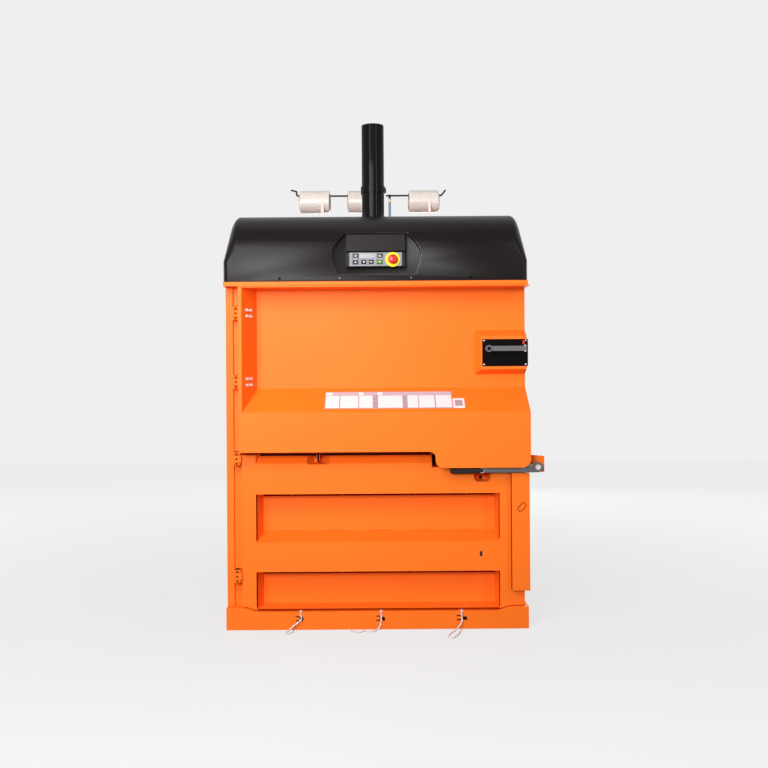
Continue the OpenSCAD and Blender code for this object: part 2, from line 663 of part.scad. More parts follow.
// Hinges: two welded lugs on the post, one on the door between them, and a headed pin
module lug(z, h, bore, turn, reach) translate([axis_x, axis_y, z - h / 2]) rotate(turn)
    linear_extrude(h) difference() {
        union() {
            circle(r = lug_r);
            translate([0, -lug_r]) square([reach, 2 * lug_r]);
        }
        circle(d = bore);
    }
module frame_hinge_lugs() color(orange) for (z = hinge_z, s = [-1, 1])
    lug(z + s * (door_lug_h / 2 + lug_gap + lug_h / 2), lug_h, pin_d, 90, band_y - axis_y);
module door_lugs(zs) color(orange) for (z = zs)
    lug(z, door_lug_h, pin_d + 2 * run_fit, 0, door_x0 - axis_x);
module upper_door_lugs() door_lugs([hinge_z[2], hinge_z[3]]);
module lower_door_lugs() door_lugs([hinge_z[0], hinge_z[1]]);
module hinge_pins() color(steel) for (z = hinge_z) {
    bar_z(z - pin_len / 2, z + pin_len / 2, axis_x, axis_y, pin_d);
    bar_z(z + pin_len / 2, z + pin_len / 2 + 3, axis_x, axis_y, pin_d + 8);
}

// Upper door: one folded sheet, recessed above, with a slope and a bulged lower part
function slant_at(y, g) = slant_x0 + (y - upper_y0) * slant_k - g * norm([1, slant_k]);
function slope_at(y, g) = slope_bottom_z + (y - upper_y0) * slope_m - g * norm([1, slope_m]);
module upper_recess(g) intersection() {
    upward(slope_bottom_z - 60, upper_top_z + 1) polygon([
        [slant_at(upper_y0 - 10, g), upper_y0 - 10], [slant_at(yf + recess_y + g, g),
        yf + recess_y + g], [upper_x1 + 10, yf + recess_y + g], [upper_x1 + 10, upper_y0 - 10]]);
    across(door_x0 - 10, upper_x1 + 20) polygon([
        [upper_y0 - 10, slope_at(upper_y0 - 10, g)],
        [yf + recess_y + g, slope_at(yf + recess_y + g, g)],
        [yf + recess_y + g, ceiling_z + g], [upper_y0 - 10, ceiling_z + g]]);
}
module upper_mass(g) difference() {
    box([door_x0 + g, upper_y0 + g, upper_bottom_z + g],
        [upper_x1 - g, door_back - liner_t + (g > 0 ? 1 : 0), upper_top_z - g]);
    upper_recess(g);
}
apron_r = 35;
apron_fillet = [30, 20];
module apron() frontback(upper_y0, upper_y0 + door_sheet) polygon(concat(
    [[apron_x - apron_fillet[0], upper_bottom_z + 6], [upper_x1, upper_bottom_z + 6]],
    arc([upper_x1 - apron_r, apron_z + apron_r], apron_r, 0, -90, 8),
    arc([apron_x + 30, apron_z + 30], 30, -90, -180, 6),
    [for (i = [0:5]) [apron_x - apron_fillet[0] * (1 - cos(18 * i)),
        upper_bottom_z - apron_fillet[1] * (1 - sin(18 * i))]]));
module upper_door_panel() color(orange) difference() {
    union() {
        difference() {
            upper_mass(0);
            upper_mass(door_sheet);
        }
        apron();
    }
    box([apron_x + 3, upper_y0 + door_sheet, upper_bottom_z - 1],
        [upper_x1 - door_sheet, door_back, upper_bottom_z + door_sheet + 1]);
    bar_y(yf + recess_y - 1, yf + recess_y + door_sheet + 1, handle_x, handle_z,
        handle_shaft_d + 2 * run_fit);
}
module upper_door_liner() color(orange) box([door_x0, door_back - liner_t, upper_bottom_z],
    [upper_x1, door_back, upper_top_z]);
module upper_hinge_bolts() color("#b8bbbf") for (z = [hinge_z[2], hinge_z[3]],
    dz = [-12, 12], f = [0.36, 0.58]) {
    y = upper_y0 + f * (upper_front + recess_y);
    translate([slant_at(y, 0), y, z + dz]) rotate([0, 0, -atan(slant_k)])
        rotate([0, 90, 0]) cylinder(d = 13, h = 6, $fn = 6);
}

// Handle on a raised pad, and its cam behind the door's face
module pad_form(g) intersection() {
    across(pad_x0 - 1, plate_x1) polygon([[yf + recess_y + (g > 0 ? 1 : 0), pad_z0 + g],
        [pad_y + g, pad_z0 + 20 + g], [pad_y + g, pad_z1 - 26 - g],
        [yf + recess_y + (g > 0 ? 1 : 0), pad_z1 - g]]);
    upward(pad_z0, pad_z1) polygon([[pad_x0 + g, yf + recess_y + (g > 0 ? 1 : 0)],
        [pad_x0 + 20 + g, pad_y + g], [upper_x1 - g, pad_y + g],
        [upper_x1 - g, yf + recess_y + (g > 0 ? 1 : 0)]]);
}
module handle_pad() color(orange) difference() {
    pad_form(0);
    pad_form(door_sheet);
    bar_y(pad_y - 1, pad_y + door_sheet + 1, handle_x, handle_z, handle_shaft_d + 2 * run_fit);
}
module handle_plate() color(black) difference() {
    box([plate_x0, plate_y, plate_z0], [plate_x1, pad_y, plate_z1]);
    bar_y(plate_y - 1, pad_y + 1, handle_x, handle_z, handle_shaft_d + 2 * run_fit);
}
module door_handle() color("#7b7d80") {
    bar_y(bar_front, yf + recess_y + 16, handle_x, handle_z, handle_shaft_d);
    bar_y(bar_front, plate_y - 0.5, handle_x, handle_z, 28);
    box([handle_x + 8, bar_front, handle_z - 10], [bar_end, bar_front + bar_t, handle_z + 10]);
    bar_y(bar_front, bar_front + bar_t, bar_end, handle_z, 20);
    translate([handle_x, bar_front + 1, handle_z]) rotate([90, 0, 0])
        cylinder(d = 15, h = 6, $fn = 6);
}
module latch_cam() color(steel) difference() {
    hull() for (x = [handle_x, handle_x + 60]) bar_y(yf + recess_y + 6, yf + recess_y + 14, x,
        handle_z, 30);
    bar_y(yf + recess_y + 5, yf + recess_y + 15, handle_x, handle_z, handle_shaft_d);
}

// Lower door: one pressed sheet with two recesses, a bevelled top and a pocket for each claw
function door_foot(g) = concat([[door_x0 + g, base_end_h + door_gap + g]],
    [for (i = [8:-1:0]) [-curve_xs()[i], sill_z(curve_xs()[i]) + door_gap + g]],
    [for (x = curve_xs()) [x, sill_z(x) + door_gap + g]],
    [[lower_x1 - g, base_end_h + door_gap + g]]);
function lower_outline(g) = concat(door_foot(g), [[lower_x1 - g, lower_step_z - g],
    [step_x - g, lower_step_z - g], [step_x - g, lower_top_z - g],
    [door_x0 + g, lower_top_z - g]]);
module lower_recess(z0, z1, rise, g) intersection() {
    ya = lower_y0 - 10;
    yp = yf + panel_y + g;
    upward(z0 - 20, z1 + 20) polygon([
        [stile_x0 - 10 * recess_slant - g, ya],
        [stile_x0 + (yp - lower_y0) * recess_slant - g, yp],
        [stile_x1 - (yp - lower_y0) * recess_slant_r + g, yp],
        [stile_x1 + 10 * recess_slant_r + g, ya]]);
    across(stile_x0 - 30, stile_x1 + 30) polygon([[ya, z0 - 10 * rise - g],
        [yp, z0 + (yp - lower_y0) * rise - g], [yp, z1 + g], [ya, z1 + g]]);
}
pocket_h = [45, 58];
pocket_w = [64, 40];
module claw_pocket(i, g) {
    top = claw_z[i] + 30;
    low = claw_z[i] + 20 - pocket_h[i];
    back = claw_y + 20 + g;
    hull() {
        frontback(lower_y0 - 10, lower_y0) polygon([[claw_x[i] - pocket_w[i] - g, top],
            [claw_x[i] + pocket_w[i] + g, top], [claw_x[i] + 0.82 * pocket_w[i] + g, low + 14],
            [claw_x[i] + 0.6 * pocket_w[i] + g, low - g], [claw_x[i] - 0.6 * pocket_w[i] - g, low - g],
            [claw_x[i] - 0.82 * pocket_w[i] - g, low + 14]]);
        frontback(back - 1, back) polygon([[claw_x[i] - 24 - g, top], [claw_x[i] + 24 + g, top],
            [claw_x[i] + 18 + g, low + 3 - g], [claw_x[i] - 18 - g, low + 3 - g]]);
    }
}
module lower_mass(g) difference() {
    frontback(lower_y0 + g, door_back - liner_t + (g > 0 ? 1 : 0)) polygon(lower_outline(g));
    lower_recess(slope_run_z, top_recess_z, slope_rise, g);
    lower_recess(base_mid_h + door_gap + 6, mid_rail_z, 0, g);
    across(door_x0 - 1, step_x) polygon([[lower_y0 - 40, bevel_z - 40 - g * sqrt(2)],
        [lower_y0 + 50, bevel_z + 50 - g * sqrt(2)], [lower_y0 - 40, bevel_z + 50]]);
    for (i = [0, 1]) claw_pocket(i, g);
}
module claw_slots() for (i = [0, 1])
    box([claw_x[i] - claw_t / 2 - 3, claw_y + 19, claw_z[i] - 48],
        [claw_x[i] + claw_t / 2 + 3, door_back + 1, claw_z[i] + 30]);
module lower_door_panel() color(orange) difference() {
    lower_mass(0);
    lower_mass(door_sheet);
    claw_slots();
}
module lower_door_liner() color(orange) difference() {
    frontback(door_back - liner_t, door_back) polygon(lower_outline(0));
    claw_slots();
}
module claw_cheeks() color(orange) for (i = [0, 1], s = [-1, 1]) difference() {
    x = claw_x[i] + s * (claw_t / 2 + 0.6 + 1.5);
    across(x - 1.5, x + 1.5) polygon([[claw_y + 20, claw_z[i] - 18], [claw_y + 20, claw_z[i] + 12],
        [claw_y + 10, claw_z[i] + 20], [claw_y - 14, claw_z[i] + 20],
        [claw_y - 24, claw_z[i] + 8], [claw_y - 24, claw_z[i] - 10], [claw_y - 10, claw_z[i] - 18]]);
    bar_x(x - 4, x + 4, claw_y, claw_z[i], claw_pin_d + 2 * run_fit);
}
module claw(i) color("#2a2a2c") {
    across(claw_x[i] - claw_t / 2, claw_x[i] + claw_t / 2) polygon([
        [claw_y - 12, claw_z[i] - 10], [claw_y - 12, claw_z[i] + 12], [claw_y + 10, claw_z[i] + 14],
        [claw_y + 76, claw_z[i] + 18], [claw_y + 80, claw_z[i] + 8],
        [claw_y + 40, claw_z[i] - 4], [claw_y + 10, claw_z[i] - 12]]);
    bar_x(claw_x[i] - 12, claw_x[i] + 12, claw_y, claw_z[i], claw_pin_d);
}
module claw_left() claw(0);
module claw_right() claw(1);

// Lock: a cover on the right stile, a bracket for the lever, the lever and its bar
module lock_cover() color(orange) {
    upward(cover_z0, cover_z1) polygon(ribbon([[cover_x0, lower_y0], [cover_x0, cover_y],
        [cover_x1, cover_y], [cover_x1, yf + 55]], -door_sheet));
    for (z = [cover_z0, cover_z1 - door_sheet]) upward(z, z + door_sheet) polygon([
        [cover_x0 + 1, cover_y + 1], [cover_x1 - 1, cover_y + 1], [cover_x1 - 1, yf + 54],
        [lower_x1 + 0.5, yf + 54], [lower_x1 + 0.5, lower_y0], [cover_x0 + 1, lower_y0]]);
}
bracket_t = 4;
bracket_x1 = xr + 66;
module lever_bracket() color(orange) {
    frontback(lower_y0 - bracket_t, lower_y0) difference() {
        polygon([[lower_x1 - 30, cover_z1 + 2], [bracket_x1, cover_z1 + 2], [bracket_x1, 683],
            [xr + 11, 688], [xr + 11, 655], [xr - 6, lower_step_z], [lower_x1 - 30, lower_step_z]]);
        translate([lever_x, lever_z]) circle(d = bolt_d);
    }
    box([bracket_x1 - bracket_t, lower_y0 - 1, cover_z1 + 2], [bracket_x1, lower_y0 + 40, 683]);
    bar_y(lever_y - 8, lower_y0, lever_x, lever_z, bolt_d);
    difference() {
        bar_y(lever_y + lever_t + 0.5, lower_y0 - bracket_t, lever_x, lever_z, 26);
        bar_y(lever_y, lower_y0, lever_x, lever_z, bolt_d - 1);
    }
    bar_y(lever_y - 8, lever_y - 0.5, lever_x, lever_z, 24);
}
module lock_lever() color(steel) frontback(lever_y, lever_y + lever_t) difference() {
    union() {
        translate([lever_x, lever_z]) circle(r = eye_r);
        polygon([[lever_x, lever_z - eye_r], [lever_x, lever_z + eye_r], [lever_x - 12, lever_z + 17],
            [lever_x - 52, lever_z - 3], [lever_x - lever_len + 60, lever_z - 3],
            [lever_x - lever_len + 60, lever_z - eye_r]]);
    }
    translate([lever_x, lever_z]) circle(d = bolt_d + 2 * run_fit);
}
module lever_grip() color(black) difference() {
    bar_x(lever_x - lever_len, lever_x - lever_len + 130, lever_y + lever_t / 2, lever_z - 11.5, 25);
    box([lever_x - lever_len + 60, lever_y, lever_z - eye_r],
        [lever_x - lever_len + 131, lever_y + lever_t, lever_z - 3]);
}
module lock_bar() color(steel) {
    x0 = lower_x1 + 3;
    x1 = cover_x1 - door_sheet - 0.3;
    box([x0, yf - 10, cover_z0 + 20], [x1, yf + 20, cover_z1 - 30]);
    for (z = [250, 530]) across(x0, x1) polygon([[yf + 19, z], [yf + 52, z + 6],
        [yf + 52, z + 26], [yf + 40, z + 26], [yf + 36, z + 18], [yf + 19, z + 18]]);
}

base_frame();
chamber_floor();
left_post();
left_wall();
right_wall();
back_wall();
roof_deck();
crosshead_beams();
hood();
control_box();
control_panel();
estop_collar();
cylinder_tube();
cylinder_flange();
riser_pipe();
rod_clamp();
roll_rod();
breather_pipe();
oil_tank();
pump_motor();
frame_hinge_lugs();
hinge_pins();
strap_guides();
bottom_straps();
strap_tail_left();
strap_tail_middle();
strap_tail_right();
upper_door_panel();
upper_door_liner();
upper_door_lugs();
upper_hinge_bolts();
handle_pad();
handle_plate();
door_handle();
latch_cam();
lower_door_panel();
lower_door_liner();
lower_door_lugs();
claw_cheeks();
lock_cover();
lever_bracket();
lock_lever();
lever_grip();
lock_bar();
claw_left();
claw_right();
press_plate();
piston_rod();
guide_pads();
strap_roll_left();
strap_roll_middle();
strap_roll_right();
estop_head();
button_start();
button_stop();
button_up();
button_down();
button_menu();
button_bale();
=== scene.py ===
from math import cos, pi, radians, sin

import bmesh
import bpy
from mathutils import Matrix, Vector


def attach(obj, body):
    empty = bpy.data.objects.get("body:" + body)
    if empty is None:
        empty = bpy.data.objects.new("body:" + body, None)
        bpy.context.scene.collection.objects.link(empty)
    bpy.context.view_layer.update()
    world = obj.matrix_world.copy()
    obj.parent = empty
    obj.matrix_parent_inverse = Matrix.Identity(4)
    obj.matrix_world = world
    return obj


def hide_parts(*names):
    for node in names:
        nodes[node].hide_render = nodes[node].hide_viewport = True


# Recycling baler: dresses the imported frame. Lengths in the dictionaries are millimetres.
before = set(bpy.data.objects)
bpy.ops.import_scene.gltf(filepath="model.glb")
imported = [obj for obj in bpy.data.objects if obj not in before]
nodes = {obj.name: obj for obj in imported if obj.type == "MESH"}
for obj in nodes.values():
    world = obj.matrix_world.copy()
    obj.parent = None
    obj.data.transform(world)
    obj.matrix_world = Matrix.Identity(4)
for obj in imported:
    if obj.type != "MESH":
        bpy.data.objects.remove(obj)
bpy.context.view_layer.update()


def metres(point):
    return Vector([c / 1000 for c in point])


def linear(code):  # sRGB hex to the linear numbers a shader wants
    parts = [int(code[i:i + 2], 16) / 255 for i in (1, 3, 5)]
    return [c / 12.92 if c <= 0.04045 else ((c + 0.055) / 1.055) ** 2.4 for c in parts] + [1.0]


# Camera: level, in front of the middle, with the photograph's small roll and offset
print("camera")
view = {"place": (0, -3970, 1029), "focalPx": 900, "frame": 768, "centre": (376, 370), "roll": 0.0069}
cameraData = bpy.data.cameras.new("camera")
cameraData.sensor_width = 36
cameraData.lens = 36 * view["focalPx"] / view["frame"]
cameraData.shift_x = (view["frame"] / 2 - view["centre"][0]) / view["frame"]
cameraData.shift_y = (view["centre"][1] - view["frame"] / 2) / view["frame"]
cameraData.clip_end = 60
camera = bpy.data.objects.new("camera", cameraData)
camera.matrix_world = (Matrix.Translation(metres(view["place"])) @ Matrix.Rotation(pi / 2, 4, "X")
                       @ Matrix.Rotation(-view["roll"], 4, "Z"))
bpy.context.collection.objects.link(camera)
bpy.context.scene.camera = camera


# One node with its settings and its input values or links
def addNode(tree, kind, values=(), **settings):
    made = tree.nodes.new(kind)
    for name, value in settings.items():
        setattr(made, name, value)
    for socket, value in dict(values).items():
        if isinstance(value, bpy.types.NodeSocket):
            tree.links.new(value, made.inputs[socket])
        else:
            made.inputs[socket].default_value = value
    return made


# A finish: colour that drifts a little, a surface grain of a real size, and gloss that varies with it
finishStyle = {"coatRoughness": 0.06, "driftDetail": 3.0, "grainDetail": 2.0}


def finish(name, colour, drift=None, driftMm=300, grainMm=2.0, depthMm=0.02, roughness=0.4,
           spread=0.06, metallic=0.0, specular=0.5, coat=0.0, stretch=(1, 1, 1), sheen=0.0):
    made = bpy.data.materials.new(name)
    made.use_nodes = True
    tree = made.node_tree
    shader = tree.nodes["Principled BSDF"]
    shader.inputs["Metallic"].default_value = metallic
    shader.inputs["Specular IOR Level"].default_value = specular
    shader.inputs["Coat Weight"].default_value = coat
    shader.inputs["Coat Roughness"].default_value = finishStyle["coatRoughness"]
    shader.inputs["Sheen Weight"].default_value = sheen
    place = addNode(tree, "ShaderNodeTexCoord")
    turned = addNode(tree, "ShaderNodeMapping", {"Vector": place.outputs["Object"], "Scale": stretch})
    wide = addNode(tree, "ShaderNodeTexNoise", {"Vector": turned.outputs[0],
                   "Scale": 1000 / driftMm, "Detail": finishStyle["driftDetail"]})
    fine = addNode(tree, "ShaderNodeTexNoise", {"Vector": turned.outputs[0],
                   "Scale": 1000 / grainMm, "Detail": finishStyle["grainDetail"]})
    tint = addNode(tree, "ShaderNodeMix", {"Factor": wide.outputs[0], 6: linear(colour),
                   7: linear(drift or colour)}, data_type="RGBA")
    tree.links.new(tint.outputs[2], shader.inputs["Base Color"])
    gloss = addNode(tree, "ShaderNodeMapRange", {"Value": wide.outputs[0],
                    "To Min": roughness - spread, "To Max": roughness + spread})
    tree.links.new(gloss.outputs[0], shader.inputs["Roughness"])
    bump = addNode(tree, "ShaderNodeBump", {"Height": fine.outputs[0], "Distance": depthMm / 1000,
                   "Strength": 1.0})
    tree.links.new(bump.outputs[0], shader.inputs["Normal"])
    return made


# In each finish: two colours, then drift, grain and its depth in millimetres, roughness and its spread
print("materials")
# Powder coat over steel: an orange peel about 3 mm across, and a soft, slightly uneven gloss
orangeCoat = finish("orangePowderCoat", "#fe7820", "#fa721c", 420, 3.0, 0.03, 0.48, 0.05, specular=0.16)
# The chamber's inside and the floor are the same coat, rubbed duller by the waste
rubbedCoat = finish("rubbedPowderCoat", "#e56b20", "#d2601b", 160, 3.0, 0.03, 0.6, 0.08, specular=0.16)
# Thermoformed ABS: a fine leather grain that softens the reflections at its edges
hoodAbs = finish("thermoformedAbs", "#100708", "#0c0506", 260, 1.6, 0.02, 0.34, 0.03, specular=0.14)
# The same sheet where it was drawn tight over the mould's edges: painted highlight, paler than the hood,
# and smooth, so the edges catch the light
absEdgeHighlight = finish("paintedHighlightAbsEdge", "#3a3234", "#332c2e", 60, 1.6, 0.004, 0.22, 0.02, specular=0.5, coat=0.5)
# Moulded ABS of the control box: a finer grain, a little paler than the hood
boxAbs = finish("mouldedAbs", "#191314", "#151011", 60, 0.9, 0.03, 0.43, 0.03, specular=0.14)
# Flat black plate and blackened fasteners: no sheen at all
plateAbs = finish("blackPlateAbs", "#060404", "#080606", 60, 0.9, 0.02, 0.4, 0.05, specular=0.04)
# Gloss enamel on the turned tube: long soft reflections down its length
cylinderEnamel = finish("glossEnamel", "#080607", "#0b090a", 180, 5.0, 0.008, 0.35, 0.03,
                        specular=0.03, coat=0.16)
# Zinc-plated steel: pale grey with a slight mottle
zincSteel = finish("zincPlatedSteel", "#a9adb1", "#8f9499", 30, 1.2, 0.02, 0.38, 0.07, metallic=1.0)
# Fresh zinc on the bolt heads, brighter and flatter than the pins'
paleZinc = finish("passivatedZinc", "#dcd6d2", "#cbc6c3", 10, 0.8, 0.01, 0.3, 0.05, metallic=0.3)
# Bare drawn steel bar, darkened by handling, streaked along X
drawnSteel = finish("drawnSteel", "#6a676a", "#504e50", 25, 1.5, 0.03, 0.42, 0.08, metallic=0.9,
                    stretch=(0.15, 1, 1))
# Blackened steel: dark, with a dull metal glint
darkSteel = finish("blackenedSteel", "#2c2a2c", "#222123", 20, 1.0, 0.03, 0.45, 0.08, metallic=0.7)
# Hard chrome, ground and polished
hardChrome = finish("hardChrome", "#d6d9dc", "#ccd0d4", 90, 0.8, 0.003, 0.08, 0.02, metallic=1.0)
# Moulded rubber: nearly black, soft and rough
gripRubber = finish("mouldedRubber", "#1b1a1d", "#141416", 18, 1.2, 0.06, 0.62, 0.06, specular=0.3)
# Cast nylon: milky, slightly glossy
castNylon = finish("castNylon", "#e4e3db", "#d9d7cd", 40, 1.4, 0.02, 0.48, 0.05)
# Polyester strap, woven about 1.5 mm a thread, here a little coarser to show
strapWeave = finish("wovenPolyester", "#f6e6df", "#e0c9c1", 8, 1.6, 0.12, 0.72, 0.06, sheen=0.3)
# The same strap wound tight: a bright band of light along each roll
rollWeave = finish("woundPolyester", "#e9dfd7", "#d6c8be", 14, 1.6, 0.08, 0.27, 0.05, specular=0.8)
# Grey-brown board of the rolls' cores: quite matte
coreBoard = finish("corePaperboard", "#8a6a55", "#74574a", 12, 1.0, 0.08, 0.85, 0.05)
# Printed polyester film over the keys: matte, faintly textured
panelFilm = finish("printedFilm", "#8b8a90", "#838288", 20, 0.6, 0.01, 0.46, 0.04, specular=0.3)
# Window over the display: smoother than the film round it
paleFilm = finish("displayFilm", "#8f9797", "#868e90", 14, 0.5, 0.004, 0.22, 0.03)
# Safety yellow and red mouldings: smooth, with a clear highlight
yellowAbs = finish("yellowAbs", "#ffe40c", "#fbdb08", 12, 0.8, 0.01, 0.35, 0.04, specular=0.25)
redAbs = finish("redAbs", "#d6221f", "#c81b1a", 12, 0.8, 0.01, 0.3, 0.04, specular=0.4)
# Silicone keys and the ink of their signs: soft, with a fine grain
keyBlack = finish("keySilicone", "#17161a", "#1e1d21", 8, 0.7, 0.03, 0.55, 0.04, specular=0.2)
keyGreen = finish("keySiliconeGreen", "#70ee2c", "#62e024", 8, 0.7, 0.03, 0.5, 0.04, specular=0.3)
keyPale = finish("keySiliconePale", "#c9a9a8", "#bb9c9b", 8, 0.7, 0.03, 0.5, 0.04)
# Paper-faced vinyl: plain, soft white
whiteVinyl = finish("whiteVinyl", "#ebe6e8", "#e4dee1", 60, 0.7, 0.01, 0.5, 0.04)
# Two printing inks on the strip: flat, no grain to see
greyInk = finish("greyInk", "#a99ca6", "#9c8f9b", 20, 0.7, 0.005, 0.5, 0.04)
lilacInk = finish("lilacInk", "#c3b4c2", "#b6a7b6", 20, 0.7, 0.005, 0.5, 0.04)
# Thin blue paint on the breather pipe
pipePaint = finish("bluePipePaint", "#5f7f96", "#54728a", 15, 1.2, 0.02, 0.4, 0.05)
# Turned brass fitting: warm and bright
brass = finish("turnedBrass", "#c39a4e", "#b38a42", 8, 0.8, 0.01, 0.28, 0.06, metallic=1.0)
# Painted shade in a dull rust brown: thin dark strips and marks that stand for the shade in the folds,
# gaps and pressed edges
paintedShade = finish("paintedSeamShade", "#8f1e02", "#801a02", 40, 1.5, 0.02, 0.85, 0.05, specular=0.0)
# Hammered paint on the power pack: coarse dimples
motorPaint = finish("hammerPaint", "#44484c", "#3b3f43", 12, 4.0, 0.12, 0.45, 0.05)

# The finish that each CAD node wears
coats = {
    orangeCoat: ["base_frame", "left_post", "left_wall", "right_wall", "back_wall", "roof_deck",
                 "crosshead_beams", "frame_hinge_lugs", "upper_door_panel", "upper_door_liner",
                 "upper_door_lugs", "handle_pad", "lower_door_panel", "lower_door_liner",
                 "lower_door_lugs", "claw_cheeks", "claw_right", "lock_cover", "lever_bracket"],
    rubbedCoat: ["chamber_floor", "press_plate"],
    hoodAbs: ["hood"],
    boxAbs: ["control_box"],
    # claw_left is painted black as painted shade of the slot between its cheeks; claw_right, the same
    # kind of part, stays orange
    plateAbs: ["handle_plate", "claw_left"],
    cylinderEnamel: ["cylinder_tube", "cylinder_flange", "rod_clamp"],
    zincSteel: ["riser_pipe", "strap_guides", "latch_cam"],
    paleZinc: ["upper_hinge_bolts"],
    drawnSteel: ["lock_lever", "lock_bar", "door_handle"],
    darkSteel: ["roll_rod", "hinge_pins"],
    hardChrome: ["piston_rod"],
    gripRubber: ["lever_grip"],
    castNylon: ["guide_pads"],
    strapWeave: ["bottom_straps", "strap_tail_left", "strap_tail_middle", "strap_tail_right"],
    rollWeave: ["strap_roll_left", "strap_roll_middle", "strap_roll_right"],
    panelFilm: ["control_panel"],
    yellowAbs: ["estop_collar"],
    redAbs: ["estop_head"],
    keyBlack: ["button_up", "button_down", "button_menu", "button_bale", "button_start", "button_stop"],
    pipePaint: ["breather_pipe"],
    motorPaint: ["oil_tank", "pump_motor"],
}
for coat, names in coats.items():
    for name in names:
        nodes[name].data.materials.clear()
        nodes[name].data.materials.append(coat)


def addObject(name, mesh, coat=None):
    made = bpy.data.objects.new(name, mesh)
    bpy.context.collection.objects.link(made)
    if coat:
        made.data.materials.append(coat)
    return made


def meshFrom(name, shape):  # a bmesh turned into a mesh, and freed
    mesh = bpy.data.meshes.new(name)
    shape.to_mesh(mesh)
    shape.free()
    return mesh


# A smooth mesh from rings of points joined one to the next, with closed ends
def loft(name, rings, coat):
    shape = bmesh.new()
    made = [[shape.verts.new(p) for p in ring] for ring in rings]
    for a, b in zip(made, made[1:]):
        for i in range(len(a)):
            j = (i + 1) % len(a)
            shape.faces.new((a[i], a[j], b[j], b[i])).smooth = True
    shape.faces.new(made[0][::-1])
    shape.faces.new(made[-1])
    bmesh.ops.recalc_face_normals(shape, faces=shape.faces)
    return addObject(name, meshFrom(name, shape), coat)


def joined(name, parts):  # several pieces as one mesh, each part with its own finish
    shape = bmesh.new()
    coats = []
    for part in parts:
        first = len(shape.faces)
        shape.from_mesh(part.data)
        coat = part.data.materials[0]
        if coat not in coats:
            coats.append(coat)
        shape.faces.ensure_lookup_table()
        for face in shape.faces[first:]:
            face.material_index = coats.index(coat)
        bpy.data.objects.remove(part)
    made = addObject(name, meshFrom(name, shape))
    for coat in coats:
        made.data.materials.append(coat)
    return made


# Strap tails: two twisted strands along the route that part.scad gives, in metres
print("strap tails")
tail = {"width": 7.0, "strand": 2.1, "lay": 34.0, "sides": 8, "steps": 6}
tailRoutes = {
    "left": [(-.305, -.404, .072), (-.305, -.404, .058), (-.301, -.404, .048), (-.304, -.405, .041),
             (-.314, -.407, .032), (-.328, -.410, .022), (-.342, -.416, .011), (-.352, -.428, .004),
             (-.358, -.444, .004), (-.352, -.458, .004), (-.340, -.454, .004), (-.334, -.438, .004),
             (-.332, -.424, .0045)],
    "middle": [(.014, -.404, .072), (.014, -.404, .058), (.015, -.404, .046), (.014, -.404, .036),
               (.012, -.405, .024), (.008, -.408, .012), (0, -.416, .0055), (-.014, -.436, .004),
               (-.030, -.442, .004), (-.044, -.426, .004), (-.060, -.438, .004),
               (-.076, -.452, .004), (-.092, -.438, .004), (-.106, -.428, .004)],
    "right": [(.333, -.404, .072), (.333, -.404, .058), (.334, -.404, .046), (.334, -.405, .036),
              (.330, -.408, .024), (.320, -.416, .013), (.306, -.434, .005), (.290, -.460, .004),
              (.276, -.492, .004), (.274, -.522, .004), (.286, -.532, .004), (.300, -.514, .004),
              (.314, -.482, .004), (.324, -.448, .004), (.328, -.424, .0045)],
}


def smoothRoute(points, steps):  # the same spline as the CAD's
    p = [Vector(q) for q in points]
    out = []
    for i in range(len(p) - 1):
        a, b, c, d = p[max(i - 1, 0)], p[i], p[i + 1], p[min(i + 2, len(p) - 1)]
        for j in range(steps):
            t = j / steps
            out.append(0.5 * (2 * b + (c - a) * t + (2 * a - 5 * b + 4 * c - d) * t * t
                              + (3 * b - a - 3 * c + d) * t * t * t))
    return out + [p[-1]]


def strandRings(route, phase):  # the sections of one strand, wound about the route
    rings, run, across = [], 0.0, Vector((1, 0, 0))
    offset = (tail["width"] / 2 - tail["strand"]) / 1000
    for i, p in enumerate(route):
        ahead = (route[min(i + 1, len(route) - 1)] - route[max(i - 1, 0)]).normalized()
        across = (across - ahead * across.dot(ahead)).normalized()
        other = ahead.cross(across)
        if i:
            run += (p - route[i - 1]).length
        turn = phase + 2 * pi * run / (tail["lay"] / 1000)
        middle = p + offset * (cos(turn) * across + sin(turn) * other)
        rings.append([middle + tail["strand"] / 1000 * (cos(2 * pi * k / tail["sides"]) * across
                      + sin(2 * pi * k / tail["sides"]) * other) for k in range(tail["sides"])])
    return rings


for side, points in tailRoutes.items():
    route = smoothRoute(points, tail["steps"])
    cord = joined("strapTail" + side.capitalize(), [
        loft("strand", strandRings(route, phase), strapWeave) for phase in (0, pi)])
    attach(cord, "housing")
    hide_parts("strap_tail_" + side)


# Rounded edges on the folded and moulded pieces; the loose CAD triangles are welded first
print("edges")
edges = {"base_frame": 2.0, "left_post": 2.0, "upper_door_panel": 1.4, "lower_door_panel": 1.4,
         "lock_cover": 1.3, "lever_bracket": 1.0, "handle_pad": 4.0, "handle_plate": 0.8,
         "roof_deck": 1.5, "control_box": 3.0, "right_wall": 1.5, "left_wall": 1.5,
         "frame_hinge_lugs": 1.0, "upper_door_lugs": 1.0, "lower_door_lugs": 1.0,
         "crosshead_beams": 1.5, "lock_lever": 1.0, "door_handle": 1.0, "cylinder_flange": 1.2,
         "claw_cheeks": 0.8, "back_wall": 1.2}
edgeStyle = {"segments": 3, "angle": 35, "weld": 0.02}
for name, width in edges.items():
    weld = nodes[name].modifiers.new("weld", "WELD")
    weld.merge_threshold = edgeStyle["weld"] / 1000
    rounding = nodes[name].modifiers.new("bevel", "BEVEL")
    rounding.width, rounding.segments = width / 1000, edgeStyle["segments"]
    rounding.limit_method, rounding.angle_limit = "ANGLE", radians(edgeStyle["angle"])
    rounding.use_clamp_overlap = True


